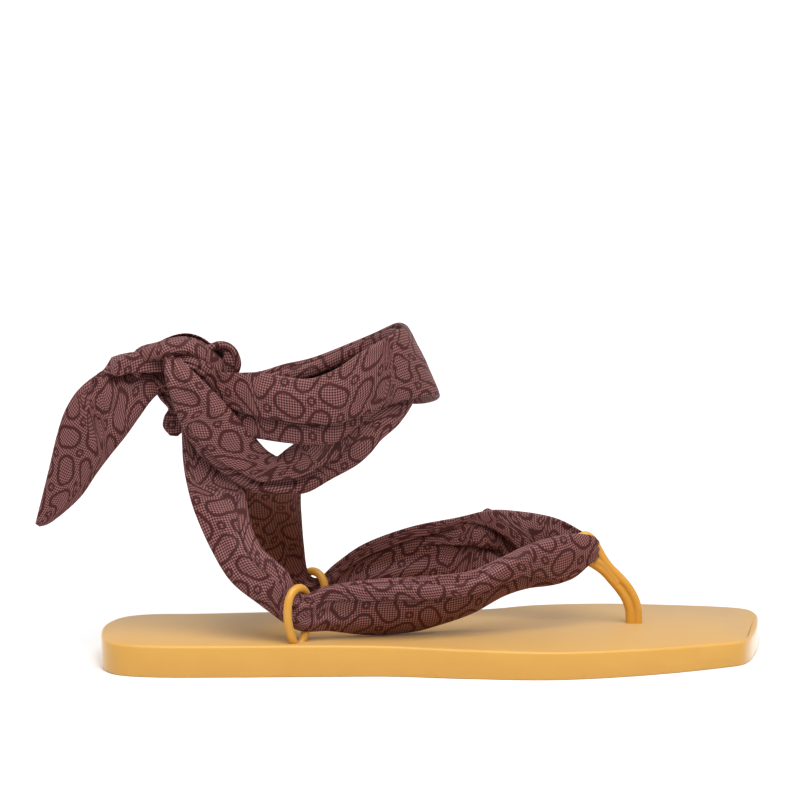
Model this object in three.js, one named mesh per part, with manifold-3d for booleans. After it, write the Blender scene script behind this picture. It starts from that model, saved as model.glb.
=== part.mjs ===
// A thong sandal for the right foot: a flat moulded rubber sole, a rubber toe post, two rubber
// rings and one long scarf. The scarf starts in the toe post's loop, runs back through the rings,
// crosses over the heel, goes round the ankle and ends in a knot with a hanging tail.
// Millimetres. +X points to the toes, +Y to the inner (big toe) side, +Z up. The origin is on the
// sole's underside, in the middle of its length.
import * as THREE from "three";
import { mergeVertices } from "three/addons/utils/BufferGeometryUtils.js";
import Module from "manifold-3d";

const wasm = await Module();
wasm.setup();

// Driving dimensions: the sole
const SOLE_LENGTH = 256;
const BALL_WIDTH = 92.2;
const HEEL_WIDTH = 62;
const HEEL_END_SHARE = -0.6;
const BALL_START_SHARE = 0.3;
const HEEL_THICKNESS = 12;
const TOE_THICKNESS = 9;
const TOP_EDGE_ROUND = 1.1;
const BOTTOM_EDGE_ROUND = 0.6;

// Driving dimensions: the rubber post and rings
const CORD_RADIUS = 1.6;
const POST_CORD_RADIUS = 1.75;
const RING_HEIGHT = 22;
const RING_WIDTH = 13.6;
const RING_TURN = 45;
const POST_REACH = 24;
const POST_RISE = 35;
const STEM_RADIUS = 3.2;
const PLUG_RADIUS = 4.5;
const PLUG_THICKNESS = 2.2;
const PLUG_LIFT = 0.4;
const CLEARANCE = 0.3;
const CUT_OVERRUN = 1;

// Driving dimensions: the scarf
const SCARF_HEIGHT = 128;
const CLOTH_WALL = 1.8;
const STRAP_PUFF = 6;
const CREASE_SPAN = 0.16;

const HALF_LENGTH = SOLE_LENGTH / 2;
const HALF_BALL = BALL_WIDTH / 2;

// Where the post and the rings stand on the footbed, as shares of the half length and half ball
const TOE_POST = { fore: 0.598, side: 0.161 };
const LATERAL_RING = { fore: -0.427, side: -0.579, lift: 1 };
const MEDIAL_RING = { fore: -0.36, side: 0.535, lift: 0.84 };

// Fineness of the faceted solids
const OUTLINE_STEPS = 90;
const CORD_SIDES = 10;
const ROW_STEPS = 2;
const ACROSS_STEPS = 7;
const LATHE_STEPS = 18;
const RING_POINTS = 14;
const CORD_STEPS = 2;
const MERGE_DISTANCE = 1e-4;

// A table is a row for each section, with its columns named once.
function table(names, rows) {
  const columns = names.split(" ");
  return rows.map((row) => Object.fromEntries(columns.map((name, i) => [name, row[i]])));
}

function smoothstep(low, high, value) {
  const t = Math.min(1, Math.max(0, (value - low) / (high - low)));
  return t * t * (3 - 2 * t);
}

// Solids
function solidFromArrays(positions, triangles) {
  return new wasm.Manifold(
    new wasm.Mesh({
      numProp: 3,
      vertProperties: new Float32Array(positions),
      triVerts: new Uint32Array(triangles),
    }),
  );
}

function solidFromGeometry(geometry) {
  const bare = geometry.clone();
  bare.deleteAttribute("normal");
  bare.deleteAttribute("uv");
  const merged = mergeVertices(bare, MERGE_DISTANCE);
  const index = merged.index.array;
  const triangles = [];
  for (let i = 0; i < index.length; i += 3) {
    const [a, b, c] = [index[i], index[i + 1], index[i + 2]];
    if (a !== b && b !== c && c !== a) triangles.push(a, b, c);
  }
  return solidFromArrays(merged.attributes.position.array, triangles);
}

function union(solids) {
  return solids.reduce((joined, solid) => joined.add(solid));
}

function largestBody(solid) {
  const bodies = solid.decompose();
  return bodies.reduce((best, body) => (body.volume() > best.volume() ? body : best));
}

function meshOf(name, solid, { color, roughness }) {
  const { numProp, numVert, vertProperties, triVerts } = solid.getMesh();
  const positions = new Float32Array(numVert * 3);
  for (let i = 0; i < numVert; i++) {
    positions.set(vertProperties.subarray(i * numProp, i * numProp + 3), i * 3);
  }
  const geometry = new THREE.BufferGeometry();
  geometry.setAttribute("position", new THREE.BufferAttribute(positions, 3));
  geometry.setIndex(new THREE.BufferAttribute(new Uint32Array(triVerts), 1));
  geometry.computeVertexNormals();
  const material = new THREE.MeshStandardMaterial({ color, roughness, metalness: 0 });
  const mesh = new THREE.Mesh(geometry, material);
  mesh.name = name;
  return mesh;
}

// Sole: its outline, as shares of the half length and of the half width there
const SOLE_OUTLINE = table("fore side", [
  [-1.0, 0.0],
  [-0.993, -0.5],
  [-0.953, -0.784],
  [-0.86, -0.94],
  [-0.664, -1.02],
  [-0.37, -1.0],
  [-0.164, -0.916],
  [0.047, -0.949],
  [0.32, -0.991],
  [0.609, -0.855],
  [0.828, -0.636],
  [0.88, -0.56],
  [0.91, -0.44],
  [0.95, -0.12],
  [0.985, 0.29],
  [1.0, 0.6],
  [0.985, 0.78],
  [0.927, 0.881],
  [0.708, 0.972],
  [0.559, 1.009],
  [0.332, 0.948],
  [0.177, 0.795],
  [-0.05, 0.74],
  [-0.352, 0.93],
  [-0.703, 0.968],
  [-0.87, 0.97],
  [-0.94, 0.81],
  [-0.985, 0.45],
]);

// Where a rounded edge has its middle step, as a share of its radius
const EDGE_ARC_SHARE = 0.3;

// Where the sole thins from heel to toe: 1 is the heel's thickness, 0 the toe's
const SOLE_TAPER = table("fore share", [
  [-1.0, 1.0],
  [-0.34, 1.0],
  [-0.06, 0.77],
  [0.24, 0.57],
  [0.5, 0.43],
  [0.72, 0.27],
  [0.9, 0.07],
  [1.0, 0.0],
]);

function halfWidthAt(foreShare) {
  const widening = smoothstep(HEEL_END_SHARE, BALL_START_SHARE, foreShare);
  return THREE.MathUtils.lerp(HEEL_WIDTH, BALL_WIDTH, widening) / 2;
}

function soleThickness(fore) {
  const share = THREE.MathUtils.clamp(fore / HALF_LENGTH, -1, 1);
  const next = Math.max(1, SOLE_TAPER.findIndex((row) => row.fore >= share));
  const a = SOLE_TAPER[next - 1];
  const b = SOLE_TAPER[next];
  const taper = THREE.MathUtils.mapLinear(share, a.fore, b.fore, a.share, b.share);
  return THREE.MathUtils.lerp(TOE_THICKNESS, HEEL_THICKNESS, taper);
}

function soleSolid() {
  const knots = SOLE_OUTLINE.map(
    ({ fore, side }) => new THREE.Vector3(fore * HALF_LENGTH, side * halfWidthAt(fore), 0),
  );
  const curve = new THREE.CatmullRomCurve3(knots, true, "centripetal");
  const outline = curve.getSpacedPoints(OUTLINE_STEPS).slice(0, -1);
  const outward = outline.map((_, i) => {
    const tangent = curve.getTangentAt(i / OUTLINE_STEPS);
    return new THREE.Vector3(tangent.y, -tangent.x, 0).normalize();
  });
  const levels = [
    { inset: BOTTOM_EDGE_ROUND, height: () => 0 },
    { inset: 0, height: () => BOTTOM_EDGE_ROUND },
    { inset: 0, height: (top) => top - TOP_EDGE_ROUND },
    { inset: TOP_EDGE_ROUND * EDGE_ARC_SHARE, height: (top) => top - TOP_EDGE_ROUND * EDGE_ARC_SHARE },
    { inset: TOP_EDGE_ROUND, height: (top) => top },
  ];
  const rings = levels.map(({ inset, height }) =>
    outline.map((point, i) => {
      const place = point.clone().addScaledVector(outward[i], -inset);
      place.z = height(soleThickness(place.x));
      return place;
    }),
  );
  const cap = THREE.ShapeUtils.triangulateShape(
    rings[0].map((p) => new THREE.Vector2(p.x, p.y)),
    [],
  );
  const count = outline.length;
  const triangles = [];
  for (const [a, b, c] of cap) {
    triangles.push(a, c, b);
    const top = (levels.length - 1) * count;
    triangles.push(top + a, top + b, top + c);
  }
  for (let level = 0; level + 1 < levels.length; level++) {
    for (let i = 0; i < count; i++) {
      const a = level * count + i;
      const b = level * count + ((i + 1) % count);
      triangles.push(a, b, b + count, a, b + count, a + count);
    }
  }
  const positions = rings.flat().flatMap((p) => [p.x, p.y, p.z]);
  return solidFromArrays(positions, triangles);
}

// Rubber cords: a round section along a curve through hand-placed points
function cordSolid(points, radius, closed) {
  const curve = new THREE.CatmullRomCurve3(points, closed, "centripetal");
  const steps = points.length * CORD_STEPS;
  const frames = curve.computeFrenetFrames(steps, closed);
  const ringCount = closed ? steps : steps + 1;
  const positions = [];
  for (let i = 0; i < ringCount; i++) {
    const centre = curve.getPointAt(i / steps);
    for (let j = 0; j < CORD_SIDES; j++) {
      const angle = (j / CORD_SIDES) * Math.PI * 2;
      const place = centre
        .clone()
        .addScaledVector(frames.normals[i], Math.cos(angle) * radius)
        .addScaledVector(frames.binormals[i], Math.sin(angle) * radius);
      positions.push(place.x, place.y, place.z);
    }
  }
  const triangles = [];
  const spans = closed ? ringCount : ringCount - 1;
  for (let i = 0; i < spans; i++) {
    const here = i * CORD_SIDES;
    const next = ((i + 1) % ringCount) * CORD_SIDES;
    for (let j = 0; j < CORD_SIDES; j++) {
      const k = (j + 1) % CORD_SIDES;
      triangles.push(here + j, here + k, next + k, here + j, next + k, next + j);
    }
  }
  if (!closed) {
    const last = (ringCount - 1) * CORD_SIDES;
    for (let j = 1; j + 1 < CORD_SIDES; j++) {
      triangles.push(0, j + 1, j, last, last + j, last + j + 1);
    }
  }
  return solidFromArrays(positions, triangles);
}

function footOf({ fore, side }) {
  const x = fore * HALF_LENGTH;
  return new THREE.Vector3(x, side * HALF_BALL, soleThickness(x));
}

function turnedSolid(profile, { x, y }) {
  const points = profile.map(([radius, height]) => new THREE.Vector2(radius, height));
  const geometry = new THREE.LatheGeometry(points, LATHE_STEPS);
  geometry.rotateX(Math.PI / 2).translate(x, y, 0);
  return solidFromGeometry(geometry);
}

// A plug holds each rubber piece from below, and its stem fills the hole up to the footbed.
function plugSolid(anchor) {
  const foot = footOf(anchor);
  const shoulder = PLUG_LIFT + PLUG_THICKNESS;
  const profile = [
    [0, PLUG_LIFT],
    [PLUG_RADIUS, PLUG_LIFT],
    [PLUG_RADIUS, shoulder],
    [STEM_RADIUS, shoulder],
    [STEM_RADIUS, foot.z - CLEARANCE],
    [0, foot.z - CLEARANCE],
  ];
  return turnedSolid(profile, foot);
}

function plugHole(anchor) {
  const foot = footOf(anchor);
  const ceiling = PLUG_LIFT + PLUG_THICKNESS + CLEARANCE;
  const profile = [
    [0, -CUT_OVERRUN],
    [PLUG_RADIUS + CLEARANCE, -CUT_OVERRUN],
    [PLUG_RADIUS + CLEARANCE, ceiling],
    [STEM_RADIUS + CLEARANCE, ceiling],
    [STEM_RADIUS + CLEARANCE, foot.z + CUT_OVERRUN],
    [0, foot.z + CUT_OVERRUN],
  ];
  return turnedSolid(profile, foot);
}

// Rings: a drop-shaped loop whose two legs meet in the sole, narrower below than above. The scarf
// presses the medial one down: lift is the share of a ring's height that it keeps.
const RING_LOW_SHARE = 0.62;
const RING_HIGH_SHARE = 1.05;

function ringSolid(anchor, turn, grow) {
  const foot = footOf(anchor);
  const direction = new THREE.Vector3(Math.cos(turn), Math.sin(turn), 0);
  const points = Array.from({ length: RING_POINTS }, (_, i) => {
    const angle = (i / RING_POINTS) * Math.PI * 2;
    const raised = (1 - Math.cos(angle)) / 2;
    const shape = THREE.MathUtils.lerp(RING_LOW_SHARE, RING_HIGH_SHARE, raised);
    const point = foot.clone().addScaledVector(direction, (Math.sin(angle) * shape * RING_WIDTH) / 2);
    point.z += raised * RING_HEIGHT * anchor.lift - CORD_RADIUS;
    return point;
  });
  return cordSolid(points, CORD_RADIUS + grow, true);
}

// Toe post: two legs side by side, as shares of its reach to the rear and its rise above the footbed.
// A web fills the fork between them up to the scarf that they hold.
const POST_FRONT_LEG = table("back rise", [
  [-0.06, -0.06],
  [-0.06, 0.06],
  [-0.055, 0.16],
  [0.0, 0.28],
  [0.11, 0.41],
  [0.255, 0.525],
  [0.4, 0.625],
  [0.515, 0.735],
  [0.6, 0.84],
  [0.68, 0.935],
  [0.79, 0.985],
  [0.9, 0.96],
]);

const POST_REAR_LEG = table("back rise", [
  [0.06, -0.06],
  [0.065, 0.06],
  [0.075, 0.15],
  [0.12, 0.25],
  [0.215, 0.36],
  [0.345, 0.47],
  [0.48, 0.575],
  [0.62, 0.65],
  [0.77, 0.71],
  [0.89, 0.79],
  [0.94, 0.88],
  [0.9, 0.96],
]);

const POST_WEB = table("back rise", [
  [0.27, 0.45],
  [0.34, 0.51],
  [0.42, 0.585],
  [0.49, 0.645],
  [0.55, 0.68],
  [0.6, 0.7],
]);

function postLeg(leg, grow) {
  const foot = footOf(TOE_POST);
  const points = leg.map(
    ({ back, rise }) =>
      new THREE.Vector3(foot.x - back * POST_REACH, foot.y, foot.z + rise * POST_RISE),
  );
  return cordSolid(points, POST_CORD_RADIUS + grow, false);
}

function postSolid(grow) {
  return union([POST_FRONT_LEG, POST_REAR_LEG, POST_WEB].map((leg) => postLeg(leg, grow)));
}

// Scarf: each strap is folded cloth that follows two edge lines. A row is one section across it:
// both edges (f to the toes, s to the inner side, z up, as shares of the half length, the half ball
// and the scarf's height), then how far its middle is crowned and how deep its crease lies, as
// shares of the puff.
const STRAP_COLUMNS = "f1 s1 z1 f2 s2 z2 crown crease";

// From the toe post's loop to the lateral ring; edge 1 is the upper one
const VAMP_OUTER = table(STRAP_COLUMNS, [
  [0.447, 0.225, 0.346, 0.451, 0.225, 0.283, 0.0, 0.0],
  [0.476, 0.16, 0.342, 0.482, 0.16, 0.283, 0.05, 0.0],
  [0.452, 0.09, 0.354, 0.457, 0.09, 0.262, 0.15, 0.0],
  [0.402, 0.033, 0.361, 0.406, 0.033, 0.226, 0.3, 0.1],
  [0.336, -0.065, 0.358, 0.338, -0.065, 0.213, 0.45, 0.2],
  [0.26, -0.163, 0.341, 0.262, -0.163, 0.209, 0.5, 0.3],
  [0.186, -0.25, 0.311, 0.188, -0.25, 0.191, 0.55, 0.4],
  [0.094, -0.337, 0.277, 0.094, -0.337, 0.158, 0.6, 0.4],
  [-0.002, -0.413, 0.27, -0.002, -0.413, 0.137, 0.6, 0.4],
  [-0.092, -0.478, 0.271, -0.092, -0.478, 0.12, 0.6, 0.35],
  [-0.219, -0.539, 0.27, -0.219, -0.539, 0.116, 0.5, 0.3],
  [-0.336, -0.57, 0.258, -0.336, -0.57, 0.128, 0.35, 0.2],
]);

// From the lateral ring up to the knot; edge 1 is the front one
const HEEL_OUTER = table(STRAP_COLUMNS, [
  [-0.416, -0.578, 0.234, -0.43, -0.578, 0.131, 0.2, 0.1],
  [-0.463, -0.565, 0.306, -0.543, -0.565, 0.21, 0.3, 0.2],
  [-0.521, -0.489, 0.357, -0.62, -0.489, 0.271, 0.4, 0.3],
  [-0.555, -0.37, 0.41, -0.673, -0.37, 0.353, 0.4, 0.3],
  [-0.568, -0.283, 0.47, -0.72, -0.283, 0.459, 0.4, 0.2],
  [-0.578, -0.217, 0.535, -0.741, -0.217, 0.532, 0.3, 0.1],
  [-0.609, -0.152, 0.617, -0.753, -0.152, 0.604, 0.2, 0.0],
  [-0.641, -0.087, 0.711, -0.756, -0.087, 0.684, 0.2, 0.0],
  [-0.672, -0.033, 0.789, -0.758, -0.033, 0.766, 0.2, 0.0],
  [-0.688, 0.0, 0.859, -0.758, 0.0, 0.844, 0.2, 0.0],
]);

// From the toe post's loop to the medial ring; edge 1 is the upper one
const VAMP_INNER = table(STRAP_COLUMNS, [
  [0.453, 0.225, 0.348, 0.457, 0.225, 0.283, 0.05, 0.0],
  [0.391, 0.26, 0.383, 0.398, 0.255, 0.238, 0.2, 0.1],
  [0.338, 0.3, 0.4, 0.344, 0.29, 0.227, 0.4, 0.3],
  [0.26, 0.35, 0.411, 0.266, 0.335, 0.219, 0.5, 0.4],
  [0.172, 0.391, 0.414, 0.176, 0.38, 0.215, 0.5, 0.4],
  [0.074, 0.435, 0.39, 0.074, 0.435, 0.207, 0.5, 0.3],
  [-0.065, 0.489, 0.36, -0.065, 0.489, 0.188, 0.5, 0.3],
  [-0.203, 0.522, 0.309, -0.203, 0.522, 0.156, 0.4, 0.3],
  [-0.289, 0.543, 0.25, -0.289, 0.543, 0.129, 0.3, 0.2],
]);

// From the medial ring up to the crossing; edge 1 is the front one
const HEEL_INNER = table(STRAP_COLUMNS, [
  [-0.344, 0.543, 0.204, -0.354, 0.543, 0.119, 0.2, 0.1],
  [-0.379, 0.528, 0.225, -0.47, 0.511, 0.152, 0.25, 0.1],
  [-0.393, 0.435, 0.316, -0.55, 0.413, 0.242, 0.3, 0.2],
  [-0.402, 0.239, 0.402, -0.6, 0.217, 0.352, 0.3, 0.3],
  [-0.408, 0.043, 0.461, -0.62, 0.022, 0.441, 0.3, 0.3],
  [-0.411, -0.13, 0.504, -0.62, -0.13, 0.512, 0.2, 0.2],
  [-0.414, -0.24, 0.539, -0.6, -0.24, 0.56, 0.1, 0.0],
]);

// From the knot down over the heel strap, round its turn and forward; edge 1 is the inner one
const CROSSING = table(STRAP_COLUMNS, [
  [-0.77, -0.174, 0.934, -0.82, -0.174, 0.918, 0.3, 0.0],
  [-0.716, -0.239, 0.867, -0.803, -0.239, 0.852, 0.3, 0.0],
  [-0.639, -0.283, 0.789, -0.78, -0.283, 0.78, 0.3, 0.1],
  [-0.567, -0.304, 0.707, -0.75, -0.304, 0.702, 0.35, 0.2],
  [-0.52, -0.304, 0.651, -0.702, -0.304, 0.63, 0.4, 0.3],
  [-0.493, -0.293, 0.63, -0.637, -0.293, 0.576, 0.4, 0.4],
  [-0.48, -0.283, 0.624, -0.559, -0.283, 0.523, 0.4, 0.4],
  [-0.472, -0.283, 0.63, -0.473, -0.283, 0.513, 0.4, 0.4],
  [-0.455, -0.304, 0.645, -0.398, -0.304, 0.517, 0.35, 0.4],
  [-0.427, -0.37, 0.67, -0.326, -0.37, 0.56, 0.3, 0.3],
  [-0.374, -0.435, 0.719, -0.256, -0.435, 0.603, 0.3, 0.2],
  [-0.316, -0.478, 0.765, -0.214, -0.478, 0.643, 0.2, 0.2],
  [-0.256, -0.467, 0.806, -0.182, -0.467, 0.681, 0.2, 0.1],
  [-0.188, -0.38, 0.836, -0.127, -0.38, 0.724, 0.15, 0.0],
  [-0.114, -0.228, 0.855, -0.0625, -0.228, 0.768, 0.1, 0.0],
]);

// Round the ankle: from the knot along the outer side to the front; edge 1 is the upper one
const ANKLE_OUTER = table(STRAP_COLUMNS, [
  [-0.703, 0.0, 0.875, -0.703, 0.0, 0.766, 0.1, 0.0],
  [-0.648, -0.152, 0.867, -0.648, -0.152, 0.719, 0.2, 0.2],
  [-0.59, -0.283, 0.871, -0.578, -0.283, 0.688, 0.3, 0.4],
  [-0.538, -0.37, 0.875, -0.526, -0.37, 0.681, 0.4, 0.6],
  [-0.466, -0.457, 0.868, -0.453, -0.457, 0.674, 0.5, 0.7],
  [-0.39, -0.522, 0.863, -0.375, -0.522, 0.671, 0.5, 0.7],
  [-0.316, -0.565, 0.891, -0.3125, -0.565, 0.681, 0.5, 0.7],
  [-0.234, -0.554, 0.945, -0.243, -0.554, 0.731, 0.5, 0.6],
  [-0.173, -0.457, 0.973, -0.155, -0.457, 0.784, 0.4, 0.5],
  [-0.128, -0.304, 0.992, -0.0625, -0.283, 0.796, 0.3, 0.3],
]);

// Round the ankle: from the front along the inner side back to the knot; edge 1 is the upper one
const ANKLE_INNER = table(STRAP_COLUMNS, [
  [-0.105, -0.13, 0.995, -0.005, -0.087, 0.79, 0.2, 0.2],
  [-0.098, 0.087, 0.992, -0.004, 0.13, 0.765, 0.2, 0.2],
  [-0.117, 0.304, 0.987, -0.046, 0.348, 0.745, 0.3, 0.3],
  [-0.172, 0.478, 0.953, -0.133, 0.5, 0.742, 0.4, 0.4],
  [-0.234, 0.554, 0.923, -0.219, 0.565, 0.719, 0.4, 0.5],
  [-0.355, 0.576, 0.875, -0.352, 0.587, 0.688, 0.4, 0.5],
  [-0.445, 0.5, 0.858, -0.453, 0.522, 0.672, 0.4, 0.5],
  [-0.516, 0.37, 0.844, -0.531, 0.391, 0.68, 0.3, 0.4],
  [-0.594, 0.196, 0.844, -0.609, 0.217, 0.703, 0.2, 0.2],
  [-0.672, 0.065, 0.852, -0.68, 0.087, 0.75, 0.1, 0.0],
]);

// The knot's upper wrap, from the rear over the crossing strap's top to the front; edge 1 is behind
const KNOT_WRAP = table(STRAP_COLUMNS, [
  [-0.862, 0.1, 0.86, -0.862, -0.13, 0.88, 0.7, 0.0],
  [-0.82, 0.17, 0.875, -0.818, -0.25, 0.9, 1.35, 0.0],
  [-0.738, 0.18, 0.914, -0.758, -0.27, 0.917, 1.45, 0.0],
  [-0.685, 0.17, 0.882, -0.705, -0.25, 0.9, 1.3, 0.0],
  [-0.65, 0.14, 0.82, -0.664, -0.21, 0.862, 1.0, 0.0],
  [-0.655, 0.1, 0.77, -0.665, -0.16, 0.8, 0.5, 0.0],
]);

// The knot's lower wrap, under the upper one; edge 1 is the upper one
const KNOT_UNDERWRAP = table(STRAP_COLUMNS, [
  [-0.8, -0.13, 0.91, -0.8, -0.1, 0.83, 0.2, 0.0],
  [-0.73, -0.2, 0.903, -0.735, -0.17, 0.83, 0.3, 0.0],
  [-0.68, -0.17, 0.86, -0.7, -0.14, 0.795, 0.3, 0.0],
  [-0.668, -0.11, 0.8, -0.69, -0.08, 0.755, 0.2, 0.0],
]);

// The knot's small loop in front of the wraps; edge 1 is behind
const KNOT_LOOP = table(STRAP_COLUMNS, [
  [-0.715, 0.13, 0.885, -0.7, -0.1, 0.91, 0.1, 0.0],
  [-0.69, 0.15, 0.915, -0.65, -0.11, 0.948, 0.2, 0.0],
  [-0.655, 0.14, 0.9, -0.607, -0.11, 0.938, 0.2, 0.0],
  [-0.638, 0.11, 0.865, -0.587, -0.11, 0.894, 0.2, 0.0],
  [-0.64, 0.09, 0.83, -0.598, -0.11, 0.852, 0.1, 0.0],
]);

// The scarf's short end, tucked behind the knot; edge 1 is the front one
const SHORT_END = table(STRAP_COLUMNS, [
  [-0.745, 0.1, 0.93, -0.8, 0.1, 0.92, 0.1, 0.0],
  [-0.74, 0.12, 0.86, -0.8, 0.12, 0.86, 0.1, 0.0],
  [-0.735, 0.1, 0.78, -0.79, 0.1, 0.78, 0.2, 0.1],
  [-0.745, 0.12, 0.725, -0.806, 0.12, 0.73, 0.2, 0.1],
  [-0.748, 0.12, 0.69, -0.81, 0.12, 0.695, 0.2, 0.1],
  [-0.77, 0.12, 0.667, -0.79, 0.12, 0.669, 0.1, 0.0],
]);

// The long free end; edge 1 is the upper one
const TAIL = table(STRAP_COLUMNS, [
  [-0.79, -0.04, 0.9, -0.785, -0.04, 0.81, 0.1, 0.0],
  [-0.82, -0.065, 0.914, -0.8125, -0.065, 0.809, 0.2, 0.1],
  [-0.873, -0.087, 0.92, -0.848, -0.087, 0.781, 0.3, 0.3],
  [-0.918, -0.087, 0.916, -0.883, -0.087, 0.734, 0.3, 0.4],
  [-0.977, -0.087, 0.879, -0.922, -0.087, 0.68, 0.3, 0.4],
  [-1.049, -0.065, 0.825, -0.969, -0.065, 0.621, 0.3, 0.3],
  [-1.094, -0.043, 0.758, -1.012, -0.043, 0.5625, 0.3, 0.2],
  [-1.121, -0.022, 0.68, -1.051, -0.022, 0.504, 0.3, 0.2],
  [-1.145, 0.0, 0.582, -1.098, 0.0, 0.457, 0.2, 0.1],
  [-1.168, 0.022, 0.492, -1.148, 0.022, 0.418, 0.1, 0.0],
  [-1.188, 0.033, 0.415, -1.178, 0.033, 0.408, 0.0, 0.0],
]);

// How far apart two points lie where a slope is measured, in rows or in shares of the width
const SLOPE_STEP = 0.01;

// One value of a table between its rows, on a curve through the rows
function between(rows, name, t) {
  const i = Math.min(Math.floor(t), rows.length - 2);
  const w = t - i;
  const at = (k) => rows[THREE.MathUtils.clamp(k, 0, rows.length - 1)][name];
  const [a, b, c, d] = [at(i - 1), at(i), at(i + 1), at(i + 2)];
  const slope = (c - a) / 2;
  const nextSlope = (d - b) / 2;
  const w2 = w * w;
  const w3 = w2 * w;
  const start = b * (2 * w3 - 3 * w2 + 1) + slope * (w3 - 2 * w2 + w);
  return start + c * (3 * w2 - 2 * w3) + nextSlope * (w3 - w2);
}

function edgePoint(rows, edge, t) {
  return new THREE.Vector3(
    between(rows, "f" + edge, t) * HALF_LENGTH,
    between(rows, "s" + edge, t) * HALF_BALL,
    between(rows, "z" + edge, t) * SCARF_HEIGHT,
  );
}

function middlePoint(rows, t) {
  const place = THREE.MathUtils.clamp(t, 0, rows.length - 1);
  return edgePoint(rows, 1, place).lerp(edgePoint(rows, 2, place), 0.5);
}

// A point of a strap's middle surface: t runs along its rows and v from edge 1 to edge 2.
function strapPoint({ rows, creaseAt, crownSide }, t, v) {
  const one = edgePoint(rows, 1, t);
  const two = edgePoint(rows, 2, t);
  const along = middlePoint(rows, t + SLOPE_STEP).sub(middlePoint(rows, t - SLOPE_STEP));
  const out = new THREE.Vector3().crossVectors(two.clone().sub(one), along).setLength(crownSide);
  const arch = Math.sqrt(Math.max(0, 4 * v * (1 - v)));
  const dent = Math.exp(-(((v - creaseAt) / CREASE_SPAN) ** 2));
  const raised = between(rows, "crown", t) * arch - between(rows, "crease", t) * dent;
  return one.lerp(two, v).addScaledVector(out, raised * STRAP_PUFF);
}

// A strap's solid: its middle surface thickened by the cloth's wall, with both ends closed
function strapSolid(strap, grow) {
  const last = strap.rows.length - 1;
  const alongSteps = last * ROW_STEPS;
  const half = CLOTH_WALL / 2 + grow;
  const sheets = [[], []];
  for (let i = 0; i <= alongSteps; i++) {
    const t = (i / alongSteps) * last;
    for (let j = 0; j <= ACROSS_STEPS; j++) {
      const v = j / ACROSS_STEPS;
      const low = Math.max(0, v - SLOPE_STEP);
      const high = Math.min(1, v + SLOPE_STEP);
      const across = strapPoint(strap, t, high).sub(strapPoint(strap, t, low));
      const ahead = strapPoint(strap, Math.min(last, t + SLOPE_STEP), v);
      const along = ahead.sub(strapPoint(strap, Math.max(0, t - SLOPE_STEP), v));
      const normal = new THREE.Vector3().crossVectors(across, along).normalize();
      const place = strapPoint(strap, t, v);
      if (j === 0) place.addScaledVector(across.normalize(), -grow);
      if (j === ACROSS_STEPS) place.addScaledVector(across.normalize(), grow);
      if (i === 0) place.addScaledVector(along.normalize(), -grow);
      if (i === alongSteps) place.addScaledVector(along.normalize(), grow);
      sheets[0].push(place.clone().addScaledVector(normal, half));
      sheets[1].push(place.clone().addScaledVector(normal, -half));
    }
  }
  const across = ACROSS_STEPS + 1;
  const offset = sheets[0].length;
  const triangles = [];
  const quad = (a, b, c, d) => triangles.push(a, b, c, a, c, d);
  for (let i = 0; i < alongSteps; i++) {
    for (let j = 0; j < ACROSS_STEPS; j++) {
      const a = i * across + j;
      quad(a, a + 1, a + across + 1, a + across);
      quad(offset + a, offset + a + across, offset + a + across + 1, offset + a + 1);
    }
    const near = i * across;
    const far = near + ACROSS_STEPS;
    quad(near, near + across, offset + near + across, offset + near);
    quad(far, offset + far, offset + far + across, far + across);
  }
  const end = alongSteps * across;
  for (let j = 0; j < ACROSS_STEPS; j++) {
    quad(j, offset + j, offset + j + 1, j + 1);
    quad(end + j, end + j + 1, offset + end + j + 1, offset + end + j);
  }
  const positions = sheets.flat().flatMap((p) => [p.x, p.y, p.z]);
  return solidFromArrays(positions, triangles);
}

const UPPER_STRAPS = [
  { rows: [...VAMP_OUTER, ...HEEL_OUTER], creaseAt: 0.62, crownSide: -1 },
  { rows: [...VAMP_INNER, ...HEEL_INNER], creaseAt: 0.4, crownSide: 1 },
  { rows: CROSSING, creaseAt: 0.55, crownSide: 1 },
  { rows: [...ANKLE_OUTER, ...ANKLE_INNER], creaseAt: 0.6, crownSide: 1 },
];

const KNOT_STRAPS = [
  { rows: KNOT_WRAP, creaseAt: 0.5, crownSide: 1 },
  { rows: KNOT_UNDERWRAP, creaseAt: 0.5, crownSide: 1 },
  { rows: KNOT_LOOP, creaseAt: 0.5, crownSide: 1 },
  { rows: SHORT_END, creaseAt: 0.5, crownSide: 1 },
];

const TAIL_STRAPS = [{ rows: TAIL, creaseAt: 0.3, crownSide: -1 }];

function strapsSolid(straps, grow) {
  return union(straps.map((strap) => strapSolid(strap, grow)));
}

// Assembly: each piece is cut clear of the one that it passes through or wraps
const RUBBER = { color: 0xd9a54a, roughness: 0.55 };
const CLOTH = { color: 0x6a3f40, roughness: 0.9 };
const ringTurn = THREE.MathUtils.degToRad(RING_TURN);
const rubberPieces = [
  { name: "toe_post", anchor: TOE_POST, loop: postSolid },
  { name: "lateral_ring", anchor: LATERAL_RING, loop: (grow) => ringSolid(LATERAL_RING, ringTurn, grow) },
  { name: "medial_ring", anchor: MEDIAL_RING, loop: (grow) => ringSolid(MEDIAL_RING, -ringTurn, grow) },
];
const loopRoom = union(rubberPieces.map(({ loop }) => loop(CLEARANCE)));
const plugRoom = union(rubberPieces.map(({ anchor }) => plugHole(anchor)));
const upperRoom = strapsSolid(UPPER_STRAPS, CLEARANCE);
const knotRoom = strapsSolid(KNOT_STRAPS, CLEARANCE);

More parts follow.
